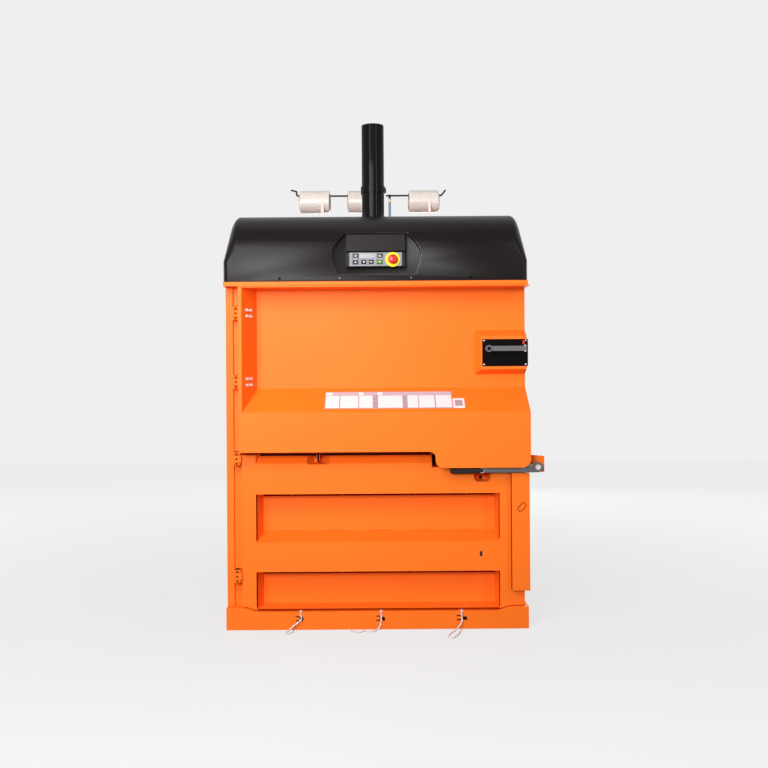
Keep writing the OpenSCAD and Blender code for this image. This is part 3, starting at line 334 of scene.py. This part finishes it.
# A Geometry Nodes tree: named float or integer inputs, geometry in and out
def newTree(name, inputs, coat):
    tree = bpy.data.node_groups.new(name, "GeometryNodeTree")
    tree.interface.new_socket("Geometry", in_out="INPUT", socket_type="NodeSocketGeometry")
    tree.interface.new_socket("Geometry", in_out="OUTPUT", socket_type="NodeSocketGeometry")
    for label, value in inputs.items():
        kind = "NodeSocketInt" if isinstance(value, int) else "NodeSocketFloat"
        tree.interface.new_socket(label, in_out="INPUT", socket_type=kind)
    entry = addNode(tree, "NodeGroupInput")

    def close(geometry):  # every tree ends in Realize Instances and Set Material
        real = addNode(tree, "GeometryNodeRealizeInstances", {"Geometry": geometry})
        coated = addNode(tree, "GeometryNodeSetMaterial", {"Geometry": real.outputs[0],
                         "Material": coat})
        addNode(tree, "NodeGroupOutput", {"Geometry": coated.outputs[0]})

    return tree, entry.outputs, close


# Runs a tree on loose points and returns the result as a plain mesh object
def grow(name, tree, values, places):
    mesh = bpy.data.meshes.new(name)
    mesh.from_pydata([metres(p) for p in places], [], [])
    carrier = addObject(name, mesh)
    modifier = carrier.modifiers.new("nodes", "NODES")
    modifier.node_group = tree
    for item in tree.interface.items_tree:
        if item.in_out == "INPUT" and item.name in values:
            modifier[item.identifier] = values[item.name]
    bpy.context.view_layer.update()
    made = bpy.data.meshes.new_from_object(carrier.evaluated_get(bpy.context.evaluated_depsgraph_get()))
    carrier.modifiers.clear()
    carrier.data = made
    carrier.data.name = name
    return carrier


def put(piece, body):  # gives a piece its body
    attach(piece, body)
    return piece


# A box or a flat outline given by its corner points and a push, with its edges rounded. Its faces
# are made one by one, because an extrude lists them in another order from run to run
def slab(name, outline, push, coat, rounded=0.0):
    shape = bmesh.new()
    here = [shape.verts.new(p) for p in outline]
    there = [shape.verts.new(p + push) for p in outline]
    for corners in (here, there):
        shape.faces.new(corners)
    for k in range(len(here)):
        shape.faces.new((here[k - 1], here[k], there[k], there[k - 1]))
    bmesh.ops.recalc_face_normals(shape, faces=shape.faces)
    if rounded:
        bmesh.ops.bevel(shape, geom=shape.edges[:], offset=rounded / 1000, segments=2,
                        affect="EDGES", clamp_overlap=True)
    return addObject(name, meshFrom(name, shape), coat)


def frontPlate(name, x0, x1, z0, z1, y, thick, coat, rounded=0.0):  # faces the front
    return slab(name, [metres((x, y, z)) for x, z in ((x0, z0), (x1, z0), (x1, z1), (x0, z1))],
                metres((0, -thick, 0)), coat, rounded)


# A turned piece: (along, radius) steps about an axis through a point
def turned(name, steps, start, axis, coat, sides=40):
    axis = Vector(axis)
    across = axis.orthogonal().normalized()
    other = axis.cross(across)
    rings = [[metres(start) + axis * along / 1000 + radius / 1000 * (cos(2 * pi * k / sides) * across
             + sin(2 * pi * k / sides) * other) for k in range(sides)] for along, radius in steps]
    piece = loft(name, rings, coat)
    piece.data.set_sharp_from_angle(angle=radians(edgeStyle["angle"]))
    return piece


# A merged, rounded and smoothly shaded copy of a CAD node, with its own finish on the rounded edges
def softCopy(name, node, style, coat, edgeCoat):
    mesh = nodes[node].data.copy()
    shape = bmesh.new()
    shape.from_mesh(mesh)
    bmesh.ops.remove_doubles(shape, verts=shape.verts, dist=edgeStyle["weld"] / 1000)
    bmesh.ops.dissolve_limit(shape, angle_limit=radians(style["mergeAngle"]), verts=shape.verts,
                             edges=shape.edges)
    shape.to_mesh(mesh)
    shape.free()
    mesh.materials.clear()
    copy = addObject(name, mesh, coat)
    mesh.materials.append(edgeCoat)
    rounding = copy.modifiers.new("bevel", "BEVEL")
    rounding.material = 1
    rounding.width, rounding.segments = style["edge"] / 1000, style["segments"]
    rounding.limit_method, rounding.angle_limit = "ANGLE", radians(style["angle"])
    made = bpy.data.meshes.new_from_object(copy.evaluated_get(bpy.context.evaluated_depsgraph_get()))
    copy.modifiers.clear()
    copy.data = made
    for face in made.polygons:
        face.use_smooth = True
    made.set_sharp_from_angle(angle=radians(style["angle"]))
    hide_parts(node)
    return copy


print("hood")
# The hood's rounded edges wear the paler edge finish: painted highlight
hoodPiece = {"edge": 5.0, "angle": 28, "segments": 3, "mergeAngle": 1}
put(softCopy("hoodShell", "hood", hoodPiece, hoodAbs, absEdgeHighlight), "housing")

# Domed screw heads, instanced on points and facing the front
print("screws")
screwTree, screwIn, close = newTree("domedScrews", {"Radius": 1.0, "Height": 1.0}, zincSteel)
head = addNode(screwTree, "GeometryNodeMeshUVSphere", {"Segments": 20, "Rings": 10,
               "Radius": screwIn["Radius"]})
flat = addNode(screwTree, "ShaderNodeCombineXYZ", {"X": 1.0, "Y": screwIn["Height"], "Z": 1.0})
dome = addNode(screwTree, "GeometryNodeTransform", {"Geometry": head.outputs["Mesh"],
               "Scale": flat.outputs[0]})
eachScrew = addNode(screwTree, "GeometryNodeInstanceOnPoints", {"Points": screwIn["Geometry"],
                    "Instance": dome.outputs[0]})
close(eachScrew.outputs[0])
screws = {  # places, radius, height of the dome for a radius of one, body, finish
    "hoodScrews": ([(-377, -432, 1391), (376, -432, 1391)], 5.5, 0.45, "housing", plateAbs),
    "hoodStuds": ([(-141, -432, 1391), (141, -432, 1391)], 2.5, 0.5, "housing", zincSteel),
    "plateScrews": ([(431, -385, 1143), (597, -385, 1143), (431, -385, 1048), (597, -385, 1048)],
                    4.2, 0.5, "upper_door", zincSteel),
}
for name, (places, radius, height, body, coat) in screws.items():
    made = put(grow(name, screwTree, {"Radius": radius / 1000, "Height": height}, places), body)
    for slot in range(len(made.data.materials)):
        made.data.materials[slot] = coat

# Windings of a strap roll: rings side by side along the roll, and the ends of its board core
print("rolls")
roll = {"radius": 48.95, "pitch": 3.0, "count": 41, "wire": 0.9, "z": 1794.8, "y": 128, "length": 138,
        "x": {"left": -272, "middle": -54, "right": 222}, "core": 31.5, "coreSides": 48, "coreInset": 1.5,
        "coreRing": ((0, 0.1), (0, 5.5), (2.2, 5.2), (2.2, 0.3))}
windTree, windIn, close = newTree("windings", {"Count": 1, "Pitch": 1.0, "Radius": 1.0, "Wire": 1.0},
                                  rollWeave)
step = addNode(windTree, "ShaderNodeCombineXYZ", {"X": windIn["Pitch"]})
line = addNode(windTree, "GeometryNodeMeshLine", {"Count": windIn["Count"], "Offset": step.outputs[0]})
loop = addNode(windTree, "GeometryNodeCurvePrimitiveCircle", {"Resolution": 56,
               "Radius": windIn["Radius"]})
thread = addNode(windTree, "GeometryNodeCurvePrimitiveCircle", {"Resolution": 8,
                 "Radius": windIn["Wire"]})
ring = addNode(windTree, "GeometryNodeCurveToMesh", {"Curve": loop.outputs[0],
               "Profile Curve": thread.outputs[0]})
upright = addNode(windTree, "GeometryNodeTransform", {"Geometry": ring.outputs[0],
                  "Rotation": (0, pi / 2, 0)})
eachRing = addNode(windTree, "GeometryNodeInstanceOnPoints", {"Points": line.outputs[0],
                   "Instance": upright.outputs[0]})
close(eachRing.outputs[0])
for side, x in roll["x"].items():
    rings = grow("windings" + side.capitalize(), windTree, {"Count": roll["count"],
                 "Pitch": roll["pitch"] / 1000, "Radius": roll["radius"] / 1000,
                 "Wire": roll["wire"] / 1000}, [])
    start = x - roll["pitch"] * (roll["count"] - 1) / 2
    rings.data.transform(Matrix.Translation(metres((start, roll["y"], roll["z"]))))
    put(rings, "strap_roll_" + side)
    ends = []
    for s in (-1, 1):  # the board core shows at both ends
        at = (x + s * (roll["length"] / 2 - roll["coreInset"]), roll["y"], roll["z"])
        sides = roll["coreSides"]
        verts, faces = [], []
        for along, past in roll["coreRing"]:
            radius = roll["core"] + past
            verts += [metres((at[0] + s * along, at[1] + radius * cos(2 * pi * k / sides),
                              at[2] + radius * sin(2 * pi * k / sides))) for k in range(sides)]
        for r in range(len(roll["coreRing"])):
            after = (r + 1) % len(roll["coreRing"])
            for k in range(sides):
                a, b = r * sides + k, r * sides + (k + 1) % sides
                c, d = after * sides + (k + 1) % sides, after * sides + k
                faces.append((a, b, c, d) if s > 0 else (d, c, b, a))
        mesh = bpy.data.meshes.new("coreEnd")
        mesh.from_pydata(verts, [], faces)
        ends.append(addObject("coreEnd", mesh, coreBoard))
    core = joined("cores" + side.capitalize(), ends)
    put(core, "strap_roll_" + side)

# Breather: painted pipe, brass fitting and black cap
print("breather")
breather = {"foot": (66, 30, 1399),
            "pipe": [(0, 11), (12, 11), (14, 9), (14.5, 5.3), (375, 5.3)],
            "fitting": [(375, 3.6), (375.5, 5.2), (379, 5.4), (380, 4.3), (386, 4.3), (387, 5.4),
                        (391, 5.2), (392, 3.5)],
            "cap": [(391, 3.2), (391.5, 5.3), (406, 5.5), (408.5, 4.6), (409, 2.5)]}
breatherPiece = joined("breather", [
    turned(name, breather[name], breather["foot"], (0, 0, 1), coat)
    for name, coat in (("pipe", pipePaint), ("fitting", brass), ("cap", keyBlack))])
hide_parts("breather_pipe")
put(breatherPiece, "housing")

# Instruction strip on the slope: plain cells, header bars and tabs on a film, and a plain square.
# Pairs run from and to along X, and heights are parts of the way up the slope
print("strip")
strip = {"front": (-465, 865), "run": (130, 91), "film": 0.35, "ink": 0.18, "lift": 0.02,
         "x": (-202.80, 300.80), "up": {"low": 0.142, "cell": 0.172, "cellTop": 0.6764, "bar": 0.6964,
                                        "barTop": 0.82, "top": 0.835},
         "cells": [(-199.78, -146.17), (-141.64, -71.43), (-67.27, -14.04), (7.47, 103.74),
                   (124.13, 165.27), (169.43, 230.58), (235.87, 297.78)],
         "bars": [(-172.60, -70.67), (-50.28, 4.83), (25.97, 299.29)],
         "tabs": [(-200.53, -173.35), (-69.92, -51.04), (5.59, 25.22)],
         "square": (303.07, 348.37, 0.142, 0.542), "field": (310.62, 340.82, 0.232, 0.472)}


def onSlope(x, t, lift):  # a point on the slope, by the part of the way up it
    back, up = strip["run"]
    out = Vector((0, -up, back)).normalized()
    return metres(Vector((x, *strip["front"])) + Vector((0, back, up)) * t + out * lift)


def film(name, x0, x1, t0, t1, lift, thick, coat):
    corners = [onSlope(x0, t0, lift), onSlope(x1, t0, lift), onSlope(x1, t1, lift), onSlope(x0, t1, lift)]
    return slab(name, corners, onSlope(0, 0, thick) - onSlope(0, 0, 0), coat)


def inked(name, runs, low, high, coat):  # printed areas on the film
    return [film(name, a, b, low, high, strip["film"], strip["ink"], coat) for a, b in runs]


up = strip["up"]
parts = [film("film", *strip["x"], up["low"], up["top"], strip["lift"], strip["film"], greyInk)]
parts += inked("cell", strip["cells"], up["cell"], up["cellTop"], whiteVinyl)
parts += inked("bar", strip["bars"], up["bar"], up["barTop"], lilacInk)
parts += inked("tab", strip["tabs"], up["bar"], up["barTop"], whiteVinyl)
parts += [film("square", *strip["square"], strip["lift"], strip["film"], whiteVinyl),
          film("field", *strip["field"], strip["film"], strip["ink"], greyInk)]
put(joined("instructionStrip", parts), "upper_door")

# Control panel: a display, frames round the keys and plain arrows, bars and a square on them. Heights
# count from the panel's own z, and a frame has its middle, its width and its height
print("panel")
panel = {"face": -415.0, "z": 1438, "keyFace": -418.0, "ink": 0.3, "line": 1.4,
         "keys": {"up": (-78, 18), "down": (-45, 18), "menu": (-16, 18), "start": (18, 18),
                  "stop": (-77, 42), "bale": (19, 42)},
         "frames": ((-78, 30, 25, 44), (19, 30, 25, 44), (-31, 18, 50, 18)),
         "display": (-62, 2, 34, 50, 0.5)}
marks = {"up": [(-4, -3), (4, -3), (0, 4)], "down": [(-4, 3), (0, -4), (4, 3)],
         "menu": [(-5, -1.2), (5, -1.2), (5, 1.2), (-5, 1.2)],
         "start": [(-8, -2.5), (-1, -2.5), (-1, -6), (8, 0), (-1, 6), (-1, 2.5), (-8, 2.5)],
         "stop": [(-4, -4), (4, -4), (4, 4), (-4, 4)],
         "bale": [(-5, -4), (5, -4), (5, 0), (1, 0), (1, 4), (-5, 4)]}
markCoat = {"up": whiteVinyl, "down": whiteVinyl, "menu": whiteVinyl, "start": keyGreen,
            "stop": keyPale, "bale": keyPale}
for key, (x, dz) in panel["keys"].items():
    outline = [metres((x + a, panel["keyFace"], panel["z"] + dz + b)) for a, b in marks[key]]
    put(slab(key + "Mark", outline, metres((0, -panel["ink"], 0)), markCoat[key]),
        "button_" + key)
around = []
for x, dz, w, h in panel["frames"]:
    line = panel["line"]
    for a, b, c, d in ((x - w / 2, x + w / 2, dz - h / 2, dz - h / 2 + line),
                       (x - w / 2, x + w / 2, dz + h / 2 - line, dz + h / 2),
                       (x - w / 2, x - w / 2 + line, dz - h / 2, dz + h / 2),
                       (x + w / 2 - line, x + w / 2, dz - h / 2, dz + h / 2)):
        around.append(frontPlate("edge", a, b, panel["z"] + c, panel["z"] + d, panel["face"],
                                 panel["ink"], keyBlack))
x0, x1, z0, z1, thick = panel["display"]
around.append(frontPlate("display", x0, x1, panel["z"] + z0, panel["z"] + z1, panel["face"], thick,
                         paleFilm, rounded=0.2))
put(joined("panelPrint", around), "housing")

# Small marks on the lower door: half-round weld tabs, and a drain slot drawn as a thin black plate,
# painted shade of the slot
print("door marks")
tabs = {"x": (-355.60, -149.66, 145.99, 355.19), "y": -300.5, "z": (519, 206), "radius": 10, "wire": 1.2,
        "start": -0.9, "sweep": 2.6}
tabTree, tabIn, close = newTree("weldTabs", {"Radius": 1.0, "Wire": 1.0}, orangeCoat)
half = addNode(tabTree, "GeometryNodeCurveArc", {"Resolution": 14, "Radius": tabIn["Radius"],
               "Start Angle": tabs["start"], "Sweep Angle": tabs["sweep"]})
wire = addNode(tabTree, "GeometryNodeCurvePrimitiveCircle", {"Resolution": 8, "Radius": tabIn["Wire"]})
tab = addNode(tabTree, "GeometryNodeCurveToMesh", {"Curve": half.outputs["Curve"],
              "Profile Curve": wire.outputs[0], "Fill Caps": True})
stood = addNode(tabTree, "GeometryNodeTransform", {"Geometry": tab.outputs[0],
                "Rotation": (pi / 2, 0, 0)})
eachTab = addNode(tabTree, "GeometryNodeInstanceOnPoints", {"Points": tabIn["Geometry"],
                  "Instance": stood.outputs[0]})
close(eachTab.outputs[0])
places = [(x, tabs["y"], z) for z in tabs["z"] for x in tabs["x"]]
put(grow("weldTabs", tabTree, {"Radius": tabs["radius"] / 1000, "Wire": tabs["wire"] / 1000}, places),
    "lower_door")
drain = {"x": 413, "y": -390.05, "z": 296, "thick": 0.4,
         "outline": ((-5, -8), (-3, -10), (3, -10), (5, -8), (5, 8), (3, 10), (-3, 10), (-5, 8))}
put(slab("drainSlotShade", [metres((drain["x"] + a, drain["y"], drain["z"] + b)) for a, b in drain["outline"]],
         metres((0, -drain["thick"], 0)), keyBlack), "lower_door")

# Lower door: its left stile runs up past the bevelled top, and beads join the upper recess's two folds
door = {"front": -390, "left": -537, "stile": -481, "bevel": 658, "top": 694, "spread": 16}
deep = door["front"] + door["top"] - door["bevel"]
shape = bmesh.new()
corners = [shape.verts.new(metres(p)) for p in (
    (door["left"], door["front"], door["bevel"]), (door["stile"], door["front"], door["bevel"]),
    (door["stile"], door["front"], door["top"]), (door["left"], door["front"], door["top"]),
    (door["left"], deep, door["top"]), (door["stile"] + door["spread"], deep, door["top"]))]
for face in ((0, 1, 2, 3), (3, 2, 5, 4), (1, 5, 2), (0, 3, 4), (0, 4, 5, 1)):
    shape.faces.new([corners[i] for i in face])
bmesh.ops.recalc_face_normals(shape, faces=shape.faces)
put(addObject("stileTop", meshFrom("stileTop", shape), orangeCoat), "lower_door")
beads = {"z": 375.5, "y": -300.2, "size": 2.2,
         "runs": [(-405, -303), (-227, -122), (-49, 64), (141, 246), (322, 406)]}
put(joined("weldBeads", [frontPlate("bead", x0, x1, beads["z"], beads["z"] + beads["size"], beads["y"],
                                    beads["size"], rubbedCoat, rounded=0.9)
                         for x0, x1 in beads["runs"]]),
    "lower_door")


# A rounded bar bent round a closed path in the front plane, in millimetres
def wireLoop(name, path, y, thick, coat):
    curve = bpy.data.curves.new(name, "CURVE")
    curve.dimensions = "3D"
    run = curve.splines.new("POLY")
    run.points.add(len(path) - 1)
    for point, (x, z) in zip(run.points, path):
        point.co = (x / 1000, y / 1000, z / 1000, 1)
    run.use_cyclic_u = True
    curve.bevel_depth, curve.bevel_resolution = thick / 1000, 3
    carrier = bpy.data.objects.new(name, curve)
    bpy.context.collection.objects.link(carrier)
    bpy.context.view_layer.update()
    mesh = bpy.data.meshes.new_from_object(carrier.evaluated_get(bpy.context.evaluated_depsgraph_get()))
    bpy.data.objects.remove(carrier)
    mesh.materials.clear()
    return addObject(name, mesh, coat)


def stadium(x, z, long, wide, tiltDeg, steps=8):  # an oblong with round ends, about its middle
    out = []
    for end in (0, 1):
        for k in range(steps + 1):
            turn = pi * (end - 0.5) + pi * k / steps
            a = (0.5 - end) * (long - wide) + wide / 2 * cos(turn)
            b = wide / 2 * sin(turn)
            c, d = cos(radians(tiltDeg)), sin(radians(tiltDeg))
            out.append((x + a * c - b * d, z + a * d + b * c))
    return out


# The oblong pressed into the lock cover, by its middle, length, width and tilt, drawn as a dark ring:
# painted shade of its pressed edge
coverMark = {"shape": (573, 484, 38, 19, 48), "y": -415.2, "wire": 1.5}
put(wireLoop("coverMark", stadium(*coverMark["shape"]), coverMark["y"], coverMark["wire"], paintedShade),
    "lower_door")


# A thin upright strip that lies on a slanted side wall, from one depth to another behind the front
def wallStrip(x, y, lean, depths, low, high, coat, thick=0.3, rounded=0.0):
    near, far = depths
    outline = [metres((x + lean * d, y + d, z)) for d, z in ((near, low), (far, low), (far, high),
                                                             (near, high))]
    away = Vector((1 if lean > 0 else -1, -abs(lean), 0)).normalized()
    return slab("strip", outline, away * thick / 1000, coat, rounded)


# Painted shadow of the apron: a thin black strip in the rubber finish along the bevelled top, where the
# apron closes on it
apronShadow = {"x": (-468, 215), "z": (687.5, 693.6), "thick": 0.4}
bevel = [(apronShadow["x"][a], door["front"] + apronShadow["z"][b] - door["bevel"], apronShadow["z"][b])
         for a, b in ((0, 0), (1, 0), (1, 1), (0, 1))]
put(slab("apronShadowStrip", [metres(c) for c in bevel], metres((0, -apronShadow["thick"], apronShadow["thick"])), gripRubber),
    "lower_door")

# Painted shade: dark strips under the top fold and down the sides of both recesses, beside the cover and
# along the sill, and dark discs at the hinge knuckles.
# The cover's side is upright, so its lean only says which way it faces
seams = {"front": -390, "panel": -300.1, "thick": 0.5, "x": (-461, 477),
         "top": ((517.8, 536.5), (202.5, 227.5)), "side": ((356, 536.5), (84, 227.5)),
         "left": (-480.8, 0.2, (1, 15)), "right": (487.8, -0.1056, (1, 15)),
         "cover": (532.9, -414, -0.0001, (0, 23), 155, 616),
         "sill": (-478, 485, 76.6, 81.6, -390.1, 0.4),
         "knuckle": (-555, -406.1), "gaps": (-19, 0, 19), "gapSteps": [(0, 4.6), (0.5, 4.3)],
         "hinges": ((214, "lower_door"), (680, "lower_door"), (985, "upper_door"), (1257, "upper_door"))}
lines = [frontPlate("seam", *seams["x"], *heights, seams["panel"], seams["thick"], paintedShade)
         for heights in seams["top"]]
for x, lean, depths in (seams["left"], seams["right"]):
    for heights in seams["side"]:
        lines.append(wallStrip(x, seams["front"], lean, depths, *heights, paintedShade))
lines.append(wallStrip(*seams["cover"], paintedShade))
lines.append(frontPlate("seam", *seams["sill"], paintedShade))
put(joined("doorShadeLines", lines), "lower_door")
for z, body in seams["hinges"]:
    for dz in seams["gaps"]:
        gap = turned("knuckleShade%d%d" % (z, dz), seams["gapSteps"], (*seams["knuckle"], z + dz),
                     (0, -1, 0), paintedShade, sides=12)
        put(gap, "housing" if dz else body)

# Painted shade: black plates inside the sill's hook slots and dark discs beside the straps, each standing
# for the shade of a hole
print("slots and bolts")
slots = {"x": (-305, 14, 333), "half": 30, "z": (26, 62), "y": -392.5, "thick": 1.5,
         "eyes": (-303, 22, 347), "eyeAt": (-405.1, 44), "eyeSteps": [(0, 7.0), (0.4, 6.8)]}
shades = [frontPlate("shade", x - slots["half"], x + slots["half"], *slots["z"], slots["y"],
                     slots["thick"], darkSteel) for x in slots["x"]]
put(joined("slotShades", shades), "housing")
eyes = [turned("eye", slots["eyeSteps"], (x, *slots["eyeAt"]), (0, -1, 0), plateAbs, sides=16)
        for x in slots["eyes"]]
put(joined("hookEyeShades", eyes), "housing")

# Upper hinges: a zinc washer strip under each pair of bolt heads, on the slanted side of the recess
slant = {"x": -522.9, "front": -465, "lean": 43 / 130, "depths": (32, 92), "high": 11, "thick": 1.6,
         "rounded": 0.5, "z": (973, 997, 1245, 1269)}
washers = [wallStrip(slant["x"], slant["front"], slant["lean"], slant["depths"], z - slant["high"] / 2,
                     z + slant["high"] / 2, paleZinc, slant["thick"], slant["rounded"])
           for z in slant["z"]]
put(joined("hingeWashers", washers), "upper_door")

# Handle: a hexagonal hub, its socket drawn as a flat black diamond (painted shade of the hole), a chrome
# keeper and a red tell-tale
handle = {"hub": (447, -414, 1111), "keeper": (589, 598, 1098, 1126, -385, 9),
          "tellTale": (584, 593, 1127, 1143, -385, 4)}
hub = [turned("hub", [(0, 13.5), (1.2, 15), (6.5, 15), (7.5, 13.8), (7.5, 9.5)], handle["hub"],
              (0, -1, 0), drawnSteel, sides=6),
       turned("socket", [(7.6, 9.4), (7.9, 7.5), (7.9, 1.0)], handle["hub"], (0, -1, 0), plateAbs,
              sides=4)]
put(joined("handleHub", hub), "door_handle")
put(frontPlate("keeper", *handle["keeper"], hardChrome, rounded=1.5), "upper_door")
put(frontPlate("tellTale", *handle["tellTale"], redAbs, rounded=1.0), "upper_door")

# Lever: a washer and a socket bolt at its pivot, and a nut where the grip meets the bar
lever = {"bolt": (634, -437.9, 643), "nut": (414, -429.8, 631)}
bolt = [turned("washer", [(0, 11.4), (1.4, 11.7), (2.0, 11.2), (2.0, 4)], lever["bolt"], (0, -1, 0),
               zincSteel),
        turned("head", [(1.8, 8.6), (5.6, 8.6), (6.6, 7.6), (6.6, 4.4), (4.2, 4.2), (4.2, 0.5)],
               lever["bolt"], (0, -1, 0), paleZinc)]
put(joined("leverBolt", bolt), "lower_door")
put(turned("leverNut", [(0, 11.5), (4.5, 11.5), (5.5, 10.5), (5.5, 3)], lever["nut"], (0, -1, 0),
           zincSteel, sides=6), "lock_lever")

# Studio: a pale floor, a world that is white to the camera and to reflections, and eight soft lamps,
# each with its place in millimetres, its size in metres and its power in watts. The floor's own
# measures are in metres
print("studio")
studio = {"floor": "#696a6a", "floorDrift": "#646565", "floorX": (-9, 9), "floorY": (-7, 6),
          "floorZ": -0.0005, "under": (0.56, 0.36, 0.02), "white": "#efefef", "sky": "#f2f3f5",
          "ambient": 0.13, "glow": {"near": (1.0, 0.71), "far": (4.5, 0.815)}, "aim": (0, -400, 1100),
          "lamps": {"key": ((-880, -4100, 1600), (1.2, 0.7), 93),
                    "near": ((-600, -1900, 2000), (1.3, 0.8), 21),
                    "left": ((-1500, -2600, 1750), (0.1, 2.4), 20),
                    "right": ((1750, -2400, 1750), (0.12, 2.4), 15),
                    "top": ((-200, -500, 4200), (2.4, 1.2), 5),
                    "rim": ((600, 3900, 1500), (2.2, 1.6), 70),
                    "west": ((-4300, 1700, 1700), (2.0, 1.6), 62),
                    "east": ((4300, 1700, 1700), (2.0, 1.6), 62)}}
floorMesh = bpy.data.meshes.new("floor")
floorMesh.from_pydata([(studio["floorX"][a], studio["floorY"][b], studio["floorZ"])
                       for a, b in ((0, 0), (1, 0), (1, 1), (0, 1))], [], [(0, 1, 2, 3)])
paleFloor = finish("paleFloor", studio["floor"], studio["floorDrift"], 900, 6.0, 0.01, 0.8, 0.04,
                   specular=0.0)


# One where a camera, glossy or transmission ray meets the background, else nothing
def backgroundRays(tree):
    rays = addNode(tree, "ShaderNodeLightPath").outputs
    two = addNode(tree, "ShaderNodeMath", {0: rays["Is Camera Ray"], 1: rays["Is Glossy Ray"]},
                  operation="MAXIMUM")
    return addNode(tree, "ShaderNodeMath", {0: two.outputs[0], 1: rays["Is Transmission Ray"]},
                   operation="MAXIMUM").outputs[0]


floorTree = paleFloor.node_tree
(nearAt, nearGlow), (farAt, farGlow) = studio["glow"]["near"], studio["glow"]["far"]
floorPlace = addNode(floorTree, "ShaderNodeTexCoord").outputs["Object"]
fromHere = addNode(floorTree, "ShaderNodeVectorMath", {0: floorPlace}, operation="LENGTH")
glow = addNode(floorTree, "ShaderNodeMapRange", {"Value": fromHere.outputs["Value"], "From Min": nearAt,
               "From Max": farAt, "To Min": nearGlow, "To Max": farGlow})
# No glow under the machine's own base, so that the fork pockets stay dark inside
halfX, halfY, fade = studio["under"]
folded = addNode(floorTree, "ShaderNodeVectorMath", {0: floorPlace}, operation="ABSOLUTE")
past = addNode(floorTree, "ShaderNodeSeparateXYZ", {0: addNode(
    floorTree, "ShaderNodeVectorMath", {0: folded.outputs[0], 1: (halfX, halfY, 0)},
    operation="SUBTRACT").outputs[0]})
beyond = addNode(floorTree, "ShaderNodeMath", {0: past.outputs["X"], 1: past.outputs["Y"]},
                 operation="MAXIMUM")
outside = addNode(floorTree, "ShaderNodeMapRange", {"Value": beyond.outputs[0], "From Min": 0.0,
                  "From Max": fade})
besides = addNode(floorTree, "ShaderNodeMath", {0: glow.outputs[0], 1: outside.outputs[0]},
                  operation="MULTIPLY")
shownGlow = addNode(floorTree, "ShaderNodeMath", {0: besides.outputs[0], 1: backgroundRays(floorTree)},
                    operation="MULTIPLY")
floorShader = floorTree.nodes["Principled BSDF"]
floorShader.inputs["Emission Color"].default_value = (1, 1, 1, 1)
floorTree.links.new(shownGlow.outputs[0], floorShader.inputs["Emission Strength"])
addObject("floor", floorMesh, paleFloor)
world = bpy.data.worlds.new("studioLight")
world.use_nodes = True
sky = world.node_tree
shown = addNode(sky, "ShaderNodeBackground", {"Color": linear(studio["white"]), "Strength": 1.0})
sky.nodes["Background"].inputs["Color"].default_value = linear(studio["sky"])
sky.nodes["Background"].inputs["Strength"].default_value = studio["ambient"]
both = addNode(sky, "ShaderNodeMixShader", {0: backgroundRays(sky), 1: sky.nodes["Background"].outputs[0],
               2: shown.outputs[0]})
sky.links.new(both.outputs[0], sky.nodes["World Output"].inputs["Surface"])
bpy.context.scene.world = world

for name, (place, size, power) in studio["lamps"].items():
    light = bpy.data.lights.new(name, "AREA")
    light.shape, light.size, light.size_y, light.energy = "RECTANGLE", *size, power
    lamp = bpy.data.objects.new(name, light)
    aim = (metres(studio["aim"]) - metres(place)).to_track_quat("-Z", "Y")
    lamp.matrix_world = Matrix.Translation(metres(place)) @ aim.to_matrix().to_4x4()
    lamp.visible_camera = False
    bpy.context.collection.objects.link(lamp)
bpy.context.scene.view_settings.view_transform = "Standard"

print("done")
